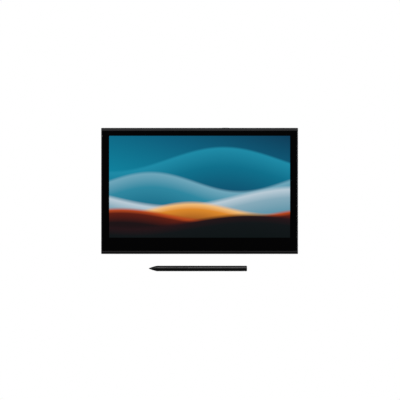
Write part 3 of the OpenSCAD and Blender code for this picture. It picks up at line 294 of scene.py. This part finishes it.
def white_polyester(name):
    """White polyester sheet: even and matt, with a beaded face that breaks up the light. The beads are drawn
    at 0.6 mm so that they show, and are painted darker where they meet, as shade between them."""
    material, tree, place = new_material(name)
    beads = add(tree, "ShaderNodeTexVoronoi", {"Vector": place, "Scale": per_mm(0.6)})
    # Painted shade: each bead is lighter in its middle and darker where it meets the next
    tone = add(tree, "ShaderNodeValToRGB", {"Fac": beads.outputs["Distance"]},
               stops=((0.0, linear("#f1f1ee")), (0.8, linear("#dcdcd8"))))
    relief = add(tree, "ShaderNodeBump", {"Height": beads.outputs["Distance"], "Distance": 0.04 * MM})
    shader = add(tree, "ShaderNodeBsdfPrincipled",
                 {"Base Color": tone.outputs["Color"], "Roughness": 0.6, "Normal": relief.outputs["Normal"]})
    add(tree, "ShaderNodeOutputMaterial", {"Surface": shader.outputs["BSDF"]})
    return material


def cast_acrylic(name, haze, glow):
    """Clear acrylic: light goes straight through a sheet, and haze spreads it in a lamp's light pipe."""
    material, tree, place = new_material(name)
    waves = add(tree, "ShaderNodeTexNoise", {"Vector": place, "Scale": per_mm(6), "Detail": 1.0})
    tone = add(tree, "ShaderNodeValToRGB", {"Fac": waves.outputs["Fac"]},
               stops=((0.3, linear("#e8f0f2")), (0.7, linear("#fbfdfd"))))
    relief = add(tree, "ShaderNodeBump", {"Height": waves.outputs["Fac"], "Distance": 0.02 * MM})
    shader = add(tree, "ShaderNodeBsdfPrincipled",
                 {"Base Color": tone.outputs["Color"], "Roughness": haze, "IOR": 1.49,
                  "Transmission Weight": 1.0, "Emission Color": linear("#dfe9ff"), "Emission Strength": glow,
                  "Normal": relief.outputs["Normal"]})
    add(tree, "ShaderNodeOutputMaterial", {"Surface": shader.outputs["BSDF"]})
    return material


# The picture on the screen: soft folds of colour, each laid over the one behind it, on a ground that deepens
# upwards and to the right. Lengths are in half screen heights from the middle of the screen.
GROUND_LOW = -0.2
GROUND_HIGH = 1.5
GROUND_TILT = 0.3
GROUND = ((0.0, "#0d7f9b"), (0.55, "#0b5f7d"), (1.0, "#0b3d59"))  # share of the way up, and the colour there

# A fold's crest is a wave of its own height, swing, length and turn in radians. Depth is how far the fold's
# three colours run down from its crest, and soft is the height over which the crest fades in.
FOLDS = (
    {"height": 0.56, "swing": 0.24, "wave": 4.4, "turn": 0.9, "depth": 1.0, "soft": 0.05,
     "colours": ("#1d8aa6", "#0c6f8b", "#0a4a68")},
    {"height": 0.12, "swing": 0.19, "wave": 3.5, "turn": 3.3, "depth": 0.8, "soft": 0.06,
     "colours": ("#6ea6ba", "#2f87a0", "#0b6480")},
    {"height": -0.16, "swing": 0.19, "wave": 4.9, "turn": 5.4, "depth": 0.6, "soft": 0.08,
     "colours": ("#b9cbd6", "#86aaba", "#4f8ea3")},
    {"height": -0.40, "swing": 0.12, "wave": 3.1, "turn": 1.9, "depth": 0.4, "soft": 0.07,
     "colours": ("#f2bd78", "#dd8a2c", "#8e4a1c")},
    {"height": -0.52, "swing": 0.12, "wave": 3.9, "turn": 4.1, "depth": 0.3, "soft": 0.06,
     "colours": ("#b5471c", "#5c1d12", "#1c1214")},
    {"height": -0.64, "swing": 0.13, "wave": 4.6, "turn": 0.2, "depth": 0.5, "soft": 0.07,
     "colours": ("#241417", "#101517", "#0c1314")},
)
BODY_AT = 0.4  # share of a fold's depth at which its middle colour lies


def lit_picture(tree, place):
    """Colour of the lit picture and a mask that is 1 inside the screen's lit part."""
    scale = 1 / half_height
    centred = add(tree, "ShaderNodeMapping",
                  {"Vector": place, "Location": (-screen_middle.x * scale, -screen_middle.y * scale, 0),
                   "Scale": (scale, scale, scale)})
    axes = add(tree, "ShaderNodeSeparateXYZ", {"Vector": centred.outputs["Vector"]})
    across, up = axes.outputs["X"], axes.outputs["Y"]
    tilt = add(tree, "ShaderNodeMath", {0: across, 1: GROUND_TILT, 2: up}, operation="MULTIPLY_ADD")
    rise = add(tree, "ShaderNodeMapRange",
               {"Value": tilt.outputs["Value"], "From Min": GROUND_LOW, "From Max": GROUND_HIGH})
    colour = add(tree, "ShaderNodeValToRGB", {"Fac": rise.outputs["Result"]},
                 stops=[(at, linear(code)) for at, code in GROUND]).outputs["Color"]
    for fold in FOLDS:
        wave = add(tree, "ShaderNodeMath", {0: across, 1: math.tau / fold["wave"], 2: fold["turn"]},
                   operation="MULTIPLY_ADD")
        swing = add(tree, "ShaderNodeMath", {0: wave.outputs["Value"]}, operation="SINE")
        crest = add(tree, "ShaderNodeMath", {0: swing.outputs["Value"], 1: fold["swing"], 2: fold["height"]},
                    operation="MULTIPLY_ADD")
        below = add(tree, "ShaderNodeMath", {0: crest.outputs["Value"], 1: up}, operation="SUBTRACT")
        share = add(tree, "ShaderNodeMapRange", {"Value": below.outputs["Value"], "From Max": fold["depth"]})
        light, body, tail = fold["colours"]
        cloth = add(tree, "ShaderNodeValToRGB", {"Fac": share.outputs["Result"]},
                    stops=((0.0, linear(light, 0.0)), (fold["soft"] / fold["depth"], linear(light)),
                           (BODY_AT, linear(body)), (1.0, linear(tail))))
        colour = add(tree, "ShaderNodeMix",
                     {MIX_BY: cloth.outputs["Alpha"], COLOUR_A: colour, COLOUR_B: cloth.outputs["Color"]},
                     data_type="RGBA").outputs[COLOUR_OUT]
    inside = []
    for axis, reach in ((across, screen_shape), (up, 1.0)):
        away = add(tree, "ShaderNodeMath", {0: axis}, operation="ABSOLUTE")
        near = add(tree, "ShaderNodeMath", {0: away.outputs["Value"], 1: reach}, operation="LESS_THAN")
        inside.append(near.outputs["Value"])
    mask = add(tree, "ShaderNodeMath", {0: inside[0], 1: inside[1]}, operation="MULTIPLY")
    return colour, mask.outputs["Value"]


def lit_glass(name, ink, roughness, etch):
    """Glass bonded to a lit panel: the picture glows in the lit part and black ink backs the rest. The etched
    face spreads reflections. Its grain is a few microns on real glass, and is drawn far coarser so that it
    shows."""
    material, tree, place = new_material(name)
    colour, mask = lit_picture(tree, place)
    grain = add(tree, "ShaderNodeTexNoise", {"Vector": place, "Scale": per_mm(0.35), "Detail": 2.0})
    shine = add(tree, "ShaderNodeMapRange",
                {"Value": grain.outputs["Fac"], "From Min": 0.3, "From Max": 0.7,
                 "To Min": roughness - 0.02, "To Max": roughness + 0.02})
    relief = add(tree, "ShaderNodeBump", {"Height": grain.outputs["Fac"], "Distance": etch * MM})
    glow = add(tree, "ShaderNodeMix", {MIX_BY: mask, COLOUR_A: BLACK, COLOUR_B: colour}, data_type="RGBA")
    shader = add(tree, "ShaderNodeBsdfPrincipled",
                 {"Base Color": linear(ink), "Roughness": shine.outputs["Result"], "IOR": 1.5,
                  "Specular IOR Level": 0.25, "Emission Color": glow.outputs[COLOUR_OUT],
                  "Emission Strength": 1.0, "Normal": relief.outputs["Normal"]})
    add(tree, "ShaderNodeOutputMaterial", {"Surface": shader.outputs["BSDF"]})
    return material


# One finish for each slot of the record. Grains, depths and etches are in millimetres.
finishes = {
    # Fine mould texture: a dull black that greys where light grazes it
    "case_plastic": moulded("black_polycarbonate_fine_texture", "#1e1e20",
                            grain=0.7, depth=0.03, roughness=0.66),
    # Coarser texture under the tablet: greyer and flatter still
    "cover_plastic": moulded("black_polycarbonate_coarse_texture", "#28282a",
                             grain=1.1, depth=0.06, roughness=0.7),
    # Satin key: a little more shine than the wall round it
    "button_plastic": moulded("black_abs_satin", "#1a1a1b", grain=0.6, depth=0.02, roughness=0.45),
    # Etched glass: a deep black border, and a soft veil where clear glass would mirror
    "cover_glass": lit_glass("etched_glass_over_lit_panel", "#050506", roughness=0.2, etch=0.0003),
    # Foam: no shine, only pores, with painted shade in them
    "adhesive_foam": foam_tape("black_acrylic_foam_tape"),
    # Clear sheet: hardly seen but for its edges
    "clear_acrylic": cast_acrylic("clear_cast_acrylic", haze=0.05, glow=0.0),
    # Smooth panel glass: sharper reflections than the etched sheet over it
    "lcd_glass": lit_glass("liquid_crystal_panel_glass", "#0a0b0d", roughness=0.12, etch=0.0002),
    # Backlight sheets: bright matt white, with painted shade between the beads
    "white_sheet": white_polyester("white_polyester_sheet"),
    # Boards: green gloss over paler tracks
    "circuit_board": solder_mask_board("green_solder_mask_board"),
    # Casting: pale grey with an even grain
    "cast_alloy": metal("die_cast_magnesium", "#9a9c9e", grain=(1.2, 1.2, 1.2), roughness=0.5, depth=0.03),
    # Sheet steel: bright, streaked along its length
    "bright_steel": metal("rolled_stainless_steel", "#c4c5c7",
                          grain=(9, 0.5, 0.5), roughness=0.3, depth=0.01),
    # Blackened screws: dark, with a dull glint on the head
    "black_steel": metal("black_oxide_steel", "#2c2c2f", grain=(0.8, 0.8, 0.8), roughness=0.38, depth=0.01),
    # Flat cables: glossy amber with fine lines
    "flex_film": polyimide_film("amber_polyimide_flex"),
    # Chips, tongues and switches: charcoal, a little rough
    "chip_plastic": moulded("black_epoxy_moulding", "#202124", grain=0.5, depth=0.02, roughness=0.5),
    # Rubber: flat, and plainly blacker than the cover round it
    "foot_rubber": moulded("black_silicone_rubber", "#121213",
                           grain=0.9, depth=0.05, roughness=0.82, specular=0.35),
    # Pen barrel: smooth black with one long soft highlight
    "pen_plastic": moulded("black_abs_soft_satin", "#060607",
                           grain=0.7, depth=0.002, roughness=0.43, spread=0.03, specular=0.65),
    # Pen keys: a little duller, so that the barrel's highlight dims over them
    "pen_button_plastic": moulded("black_abs_dull_satin", "#070708",
                                  grain=0.7, depth=0.001, roughness=0.42, spread=0.03, specular=0.58),
    # Nib: waxy dark grey
    "nib_plastic": moulded("black_acetal", "#161617", grain=0.5, depth=0.01, roughness=0.5),
    # Ferrite: dark ceramic grains
    "ferrite": sintered_ferrite("sintered_ferrite"),
    # Coil: amber turns, with painted shade in the grooves between them
    "copper": enamelled_wire("enamelled_copper_wire"),
}
for name, node in nodes.items():
    node.material_slots[0].material = finishes[slot_of[name]]
# The light pipe is lit from inside and milky, unlike the clear sheet
light_pipe = cast_acrylic("hazy_light_pipe_acrylic", haze=0.5, glow=0.35)
nodes["status_light_pipe"].material_slots[0].material = light_pipe


# Pieces

MERGE = 0.001 * MM  # corners nearer than this are one
FLAT = math.radians(0.5)  # faces that turn less than this are one flat side
CRISP = math.radians(20)  # edges that turn more than this are rounded
SMOOTH = math.radians(32)  # edges that turn less than this are shaded as one surface
ROUND_STEPS = 3
SPARE = 2.5  # a face has to be this many rounding widths deep to lose one at its edge

# How near a point lies to a surface that it is on: a plane, the outer wall, the pen's skin
ON_PLANE = 0.02 * MM
ON_WALL = 0.03 * MM
ON_SKIN = 0.05 * MM

WALL_CORNER = 1.2 * MM  # radius of the outer wall's upright corners
RIM_DROP = 2.5 * MM  # the rim's slope and a little of the wall below it
SEAM_BEVEL = 0.3 * MM  # height of the cover's bevel along the seam under the rim
OPENINGS_DROP = 0.6 * MM  # the sockets, the button and the light open lower than this under the seam
ROW_GAP = 5 * MM  # rows of screws stand farther apart than this
RIB_INSET = 28.7 * MM  # middle of the rib between a leg's pockets, from its free end

# Widths of the rounded edges
CASE_ROUND = 0.25 * MM
OPENING_ROUND = 0.08 * MM  # narrow, because the wall's lower edge runs 0.2 mm under the sockets
LEG_ROUND = 0.3 * MM
RUBBER_ROUND = 0.4 * MM
SOCKET_ROUND = 0.08 * MM
SCREW_ROUND = 0.12 * MM
KEY_ROUND = 0.3 * MM
PEN_SEAM_ROUND = 0.12 * MM
NIB_ROUND = 0.05 * MM


def into_scene(name, data):
    """Puts an object with the given data in the scene."""
    thing = bpy.data.objects.new(name, data)
    bpy.context.scene.collection.objects.link(thing)
    return thing


def as_piece(name, mesh, body, slot):
    """Makes a bmesh a piece that rides on a body, with smooth rounds and flat faces."""
    data = bpy.data.meshes.new(name)
    mesh.to_mesh(data)
    mesh.free()
    old_normals = data.attributes.get("custom_normal")
    if old_normals:
        data.attributes.remove(old_normals)
    data.shade_smooth()
    data.set_sharp_from_angle(angle=SMOOTH)
    data.materials.append(finishes[slot])
    piece = into_scene(name, data)
    even = piece.modifiers.new("even_shading", "WEIGHTED_NORMAL")
    even.keep_sharp = True
    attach(piece, body)
    return piece


def bevelled(mesh, edges, width, steps=ROUND_STEPS):
    """Rounds edges of a bmesh."""
    bmesh.ops.bevel(mesh, geom=edges, offset=width, offset_type="OFFSET", affect="EDGES", segments=steps,
                    profile=0.5, clamp_overlap=True, material=-1)


def shown(part, shows):
    """Whether all of an edge or a face lies on one of the surfaces that show."""
    return any(all(test(vert.co) for vert in part.verts) for test in shows)


def cut_flats(mesh, axis, level, shows):
    """Divides the flat faces that show along a plane, so that a line runs square into each hole it passes."""
    flats = [face for face in mesh.faces if shown(face, shows)]
    edges = dict.fromkeys(edge for face in flats for edge in face.edges)
    verts = dict.fromkeys(vert for face in flats for vert in face.verts)
    place, square = Vector(), Vector()
    place[axis] = level
    square[axis] = 1
    made = bmesh.ops.bisect_plane(mesh, geom=[*flats, *edges, *verts], dist=MERGE,
                                  plane_co=place, plane_no=square)
    for part in made["geom_cut"]:
        if isinstance(part, bmesh.types.BMEdge):
            part.seam = True


def flat_sided(name, shows=(), cuts=()):
    """A node's shape with one face for each flat side, divided where a cut crosses a side that shows."""
    mesh = bmesh.new()
    mesh.from_mesh(nodes[name].data)
    bmesh.ops.remove_doubles(mesh, verts=mesh.verts, dist=MERGE)
    for axis, level in cuts:
        cut_flats(mesh, axis, level, shows)
    bmesh.ops.dissolve_limit(mesh, angle_limit=FLAT, verts=mesh.verts, edges=mesh.edges, delimit={"SEAM"})
    return mesh


def depth_from(face, edge):
    """How deep a face is, square to one of its edges."""
    start, end = (vert.co for vert in edge.verts)
    across = face.normal.cross((end - start).normalized())
    return max(abs((vert.co - start).dot(across)) for vert in face.verts)


def chains(mesh, edges):
    """Edges in groups that touch end to end."""
    for edge in mesh.edges:
        edge.tag = False
    for edge in edges:
        edge.tag = True
    groups = []
    for first in edges:
        if first.tag:
            first.tag = False
            group = [first]
            for edge in group:
                for other in (other for vert in edge.verts for other in vert.link_edges if other.tag):
                    other.tag = False
                    group.append(other)
            groups.append(group)
    return groups


def round_edges(mesh, width, shows=()):
    """Rounds the crisp outer edges that show, as a mould or a press leaves them. Each chain of edges is
    rounded by itself, because the tightest spot of a chain limits all of it."""
    edges = [
        edge for edge in mesh.edges
        if edge.is_convex and edge.calc_face_angle(0) > CRISP
        and all(depth_from(face, edge) > SPARE * width for face in edge.link_faces)
        and (not shows or shown(edge, shows))
    ]
    for chain in chains(mesh, edges):
        bevelled(mesh, chain, width)


def stand_in(name, mesh):
    """Makes a bmesh the piece that stands for a node."""
    piece = as_piece(name + "_finished", mesh, body_of[name], slot_of[name])
    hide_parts(name)


def softened(name, width, shows=(), cuts=()):
    """Stands for a node, with the crisp outer edges that show rounded by one width."""
    mesh = flat_sided(name, shows, cuts)
    round_edges(mesh, width, shows)
    stand_in(name, mesh)


def centre(name, axis):
    """Middle of a node's box along an axis."""
    low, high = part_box(name)
    return (low[axis] + high[axis]) / 2


def rows(name):
    """Middles of the rows in which a node's solids stand along Y."""
    places = sorted(vert.co.y for vert in nodes[name].data.vertices)
    starts = [0] + [i for i in range(1, len(places)) if places[i] - places[i - 1] > ROW_GAP]
    ends = starts[1:] + [len(places)]
    return [(places[start] + places[end - 1]) / 2 for start, end in zip(starts, ends)]


def on_end(name, axis, end):
    """Test for points on the lowest or highest plane of a node along an axis."""
    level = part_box(name)[end][axis]
    return lambda point: abs(point[axis] - level) < ON_PLANE


def on_wall(low, high):
    """Test for points on the tablet's outer wall between two heights, its round corners among them."""
    middle, reach = (frame_low + frame_high) / 2, (frame_high - frame_low) / 2

    def test(point):
        past = [max(abs(point[axis] - middle[axis]) - reach[axis] + WALL_CORNER, 0) for axis in (X, Y)]
        return low <= point.z <= high and abs(math.hypot(*past) - WALL_CORNER) < ON_WALL
    return test


def on_pen_skin(point):
    """Test for points on the pen's round outside."""
    return math.hypot(point.y - pen_y, point.z - pen_z) > pen_radius - ON_SKIN


# Rim and cover
softened("front_frame", CASE_ROUND, [on_end("front_frame", Z, HIGH), on_wall(rim_top - RIM_DROP, rim_top)])
seam = frame_low.z
underside = on_end("back_cover", Z, LOW)
openings = [(X, centre(name, X)) for name in ("left_usb_shell", "right_usb_shell", "power_button")]
screw_rows = [(Y, row) for row in rows("cover_screws")]
cover = flat_sided("back_cover", [underside, on_wall(0, seam - SEAM_BEVEL + ON_PLANE)],
                   cuts=screw_rows + openings)
round_edges(cover, CASE_ROUND, [underside])
round_edges(cover, OPENING_ROUND, [on_wall(0, seam - OPENINGS_DROP)])
stand_in("back_cover", cover)

# Legs, sockets, button, feet and screws
for side in ("left", "right"):
    leg = side + "_leg"
    faces = [on_end(leg, axis, end) for axis in (X, Z) for end in (LOW, HIGH)]
    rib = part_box(leg)[LOW].y + RIB_INSET
    softened(leg, LEG_ROUND, faces, cuts=[(Z, centre(leg + "_pin", Z)), (Y, rib)])
    softened(leg + "_pad", RUBBER_ROUND)
    softened(side + "_usb_shell", SOCKET_ROUND, [on_end(side + "_usb_shell", Y, HIGH)])
softened("power_button", KEY_ROUND, [on_end("power_button", Y, HIGH)])
softened("near_feet", RUBBER_ROUND)
softened("far_feet", RUBBER_ROUND)
softened("usb_tongues", SOCKET_ROUND)
softened("cover_screws", SCREW_ROUND)

# Pen
for name in ("pen_cone", "pen_grip_barrel", "pen_rear_barrel", "pen_end_cap"):
    softened(name, PEN_SEAM_ROUND, [on_pen_skin])
for name in ("pen_lower_button", "pen_upper_button"):
    softened(name, KEY_ROUND)
softened("pen_nib", NIB_ROUND)


def block(mesh, middle, size):
    """Adds a block to a bmesh and returns its corners."""
    corners = bmesh.ops.create_cube(mesh, size=1.0)["verts"]
    bmesh.ops.scale(mesh, vec=size, verts=corners)
    bmesh.ops.translate(mesh, vec=middle, verts=corners)
    return corners


# Grip ridges across the free end of each leg, on its outer face
RIDGES = 5
RIDGE_PITCH = 2.4 * MM
RIDGE_LENGTH = 22 * MM
RIDGE_WIDTH = 1.0 * MM
RIDGE_HEIGHT = 0.16 * MM
RIDGE_ROOT = 0.1 * MM  # sunk into the leg
RIDGE_INSET = 8 * MM

for leg in ("left_leg", "right_leg"):
    leg_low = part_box(leg)[LOW]
    mesh = bmesh.new()
    for i in range(RIDGES):
        middle = Vector((centre(leg, X), leg_low.y + RIDGE_INSET + i * RIDGE_PITCH,
                         leg_low.z + (RIDGE_ROOT - RIDGE_HEIGHT) / 2))
        block(mesh, middle, (RIDGE_LENGTH, RIDGE_WIDTH, RIDGE_HEIGHT + RIDGE_ROOT))
    low_edges = [edge for edge in mesh.edges if all(vert.co.z < leg_low.z for vert in edge.verts)]
    bevelled(mesh, low_edges, RIDGE_HEIGHT)
    as_piece(leg + "_grip_ridges", mesh, leg, "cover_plastic")


# Contacts on both faces of the tongue in each socket
CONTACTS = 12
CONTACT_PITCH = 0.5 * MM
CONTACT_LENGTH = 3.4 * MM
CONTACT_WIDTH = 0.26 * MM
CONTACT_HEIGHT = 0.04 * MM
CONTACT_ROOT = 0.1 * MM  # sunk into the tongue
CONTACT_INSET = 0.6 * MM
CONTACT_STEPS = 2
TONGUE_THICKNESS = 0.7 * MM

tongue_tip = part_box("usb_tongues")[HIGH].y
mesh = bmesh.new()
for shell in ("left_usb_shell", "right_usb_shell"):
    for face in (-1, 1):
        rise = centre(shell, Z) + face * (TONGUE_THICKNESS + CONTACT_HEIGHT - CONTACT_ROOT) / 2
        for i in range(CONTACTS):
            middle = Vector((centre(shell, X) + (i - (CONTACTS - 1) / 2) * CONTACT_PITCH,
                             tongue_tip - CONTACT_INSET - CONTACT_LENGTH / 2, rise))
            corners = block(mesh, middle, (CONTACT_WIDTH, CONTACT_LENGTH, CONTACT_HEIGHT + CONTACT_ROOT))
            proud = {vert for vert in corners if (vert.co.z - rise) * face > 0}
            proud_edges = [edge for edge in mesh.edges if proud.issuperset(edge.verts)]
            bevelled(mesh, proud_edges, CONTACT_HEIGHT, CONTACT_STEPS)
contacts = as_piece("usb_contacts", mesh, "tablet", "copper")
# Gold over spring bronze: a pale yellow glint in the dark socket
contacts.data.materials[0] = metal("gold_flashed_bronze", "#d6ab58",
                                   grain=(0.6, 0.6, 0.6), roughness=0.3, depth=0.002)


# Studio: a white floor and a white surround for the camera, dim grey for everything else

FLOOR_DROP = 70 * MM  # below the reach of the opened legs
FLOOR_SIZE = 12.0
SURROUND = ((0.0, 0.05), (0.5, 0.05), (1.0, 0.02))  # share of the way up from straight down, and its grey

mesh = bmesh.new()
bmesh.ops.create_grid(mesh, x_segments=1, y_segments=1, size=FLOOR_SIZE / 2)
bmesh.ops.translate(mesh, vec=(0, 0, -FLOOR_DROP), verts=mesh.verts)
data = bpy.data.meshes.new("studio_floor")
mesh.to_mesh(data)
mesh.free()
# Paper that is evenly lit from above and can be looked through from below
material = bpy.data.materials.new("white_paper_sweep")
tree = cleared(material)
behind = add(tree, "ShaderNodeNewGeometry").outputs["Backfacing"]
paper = add(tree, "ShaderNodeEmission", {"Color": WHITE, "Strength": 1.0})
clear = add(tree, "ShaderNodeBsdfTransparent")
sheet = add(tree, "ShaderNodeMixShader", {0: behind, 1: paper.outputs["Emission"], 2: clear.outputs["BSDF"]})
add(tree, "ShaderNodeOutputMaterial", {"Surface": sheet.outputs["Shader"]})
data.materials.append(material)
floor = into_scene("studio_floor", data)
for ray in ("diffuse", "glossy", "transmission", "volume_scatter", "shadow"):
    setattr(floor, "visible_" + ray, False)

world = bpy.data.worlds.new("studio_surround")
tree = cleared(world)
heading = add(tree, "ShaderNodeTexCoord").outputs["Generated"]
upward = add(tree, "ShaderNodeSeparateXYZ", {"Vector": heading}).outputs["Z"]
level = add(tree, "ShaderNodeMapRange", {"Value": upward, "From Min": -1.0, "From Max": 1.0})
dim = add(tree, "ShaderNodeValToRGB", {"Fac": level.outputs["Result"]},
          stops=[(at, (grey, grey, grey, 1)) for at, grey in SURROUND])
seen = add(tree, "ShaderNodeLightPath").outputs["Is Camera Ray"]
around = add(tree, "ShaderNodeMix", {MIX_BY: seen, COLOUR_A: dim.outputs["Color"], COLOUR_B: WHITE},
             data_type="RGBA")
sky = add(tree, "ShaderNodeBackground", {"Color": around.outputs[COLOUR_OUT], "Strength": 1.0})
add(tree, "ShaderNodeOutputWorld", {"Surface": sky.outputs["Background"]})
bpy.context.scene.world = world

body_middle = Vector((centre("front_frame", X), centre("front_frame", Y), rim_top))


def softbox(name, width, height, heading, elevation, distance, radiance):
    """Soft rectangular light aimed at the body, its angles in degrees. Heading 0 is at +Y and 90 at +X."""
    turn, lift = math.radians(heading), math.radians(elevation)
    away = Vector((math.sin(turn) * math.cos(lift), math.cos(turn) * math.cos(lift), math.sin(lift)))
    lamp = bpy.data.lights.new(name, "AREA")
    lamp.shape = "RECTANGLE"
    lamp.size = width
    lamp.size_y = height
    lamp.energy = radiance * math.pi * width * height
    light = into_scene(name, lamp)
    light.location = body_middle + away * distance
    light.rotation_mode = "QUATERNION"
    light.rotation_quaternion = (-away).to_track_quat("-Z", "Y")
    light.visible_camera = False


softbox("far_softbox", width=2.6, height=0.6, heading=0, elevation=49, distance=1.8, radiance=5.2)
softbox("near_fill", width=1.6, height=0.8, heading=180, elevation=12, distance=2.0, radiance=0.1)
softbox("underside_fill", width=1.8, height=1.8, heading=90, elevation=-55, distance=1.8, radiance=5.0)

# Camera straight above, with +Y up in the picture
PICTURE_WIDTH = 649.6 * MM  # real width that the picture spans at the rim's level
PICTURE_OFFSET = Vector((0.62 * MM, -0.79 * MM))  # middle of the picture from the part's origin
LENS = 135.0
SENSOR = 36.0
lens = bpy.data.cameras.new("camera_above")
lens.lens = LENS
lens.sensor_width = SENSOR
camera = into_scene("camera_above", lens)
camera.location = (*PICTURE_OFFSET, rim_top + PICTURE_WIDTH * LENS / SENSOR)
bpy.context.scene.camera = camera
bpy.context.scene.view_settings.view_transform = "Standard"

bpy.context.view_layer.update()
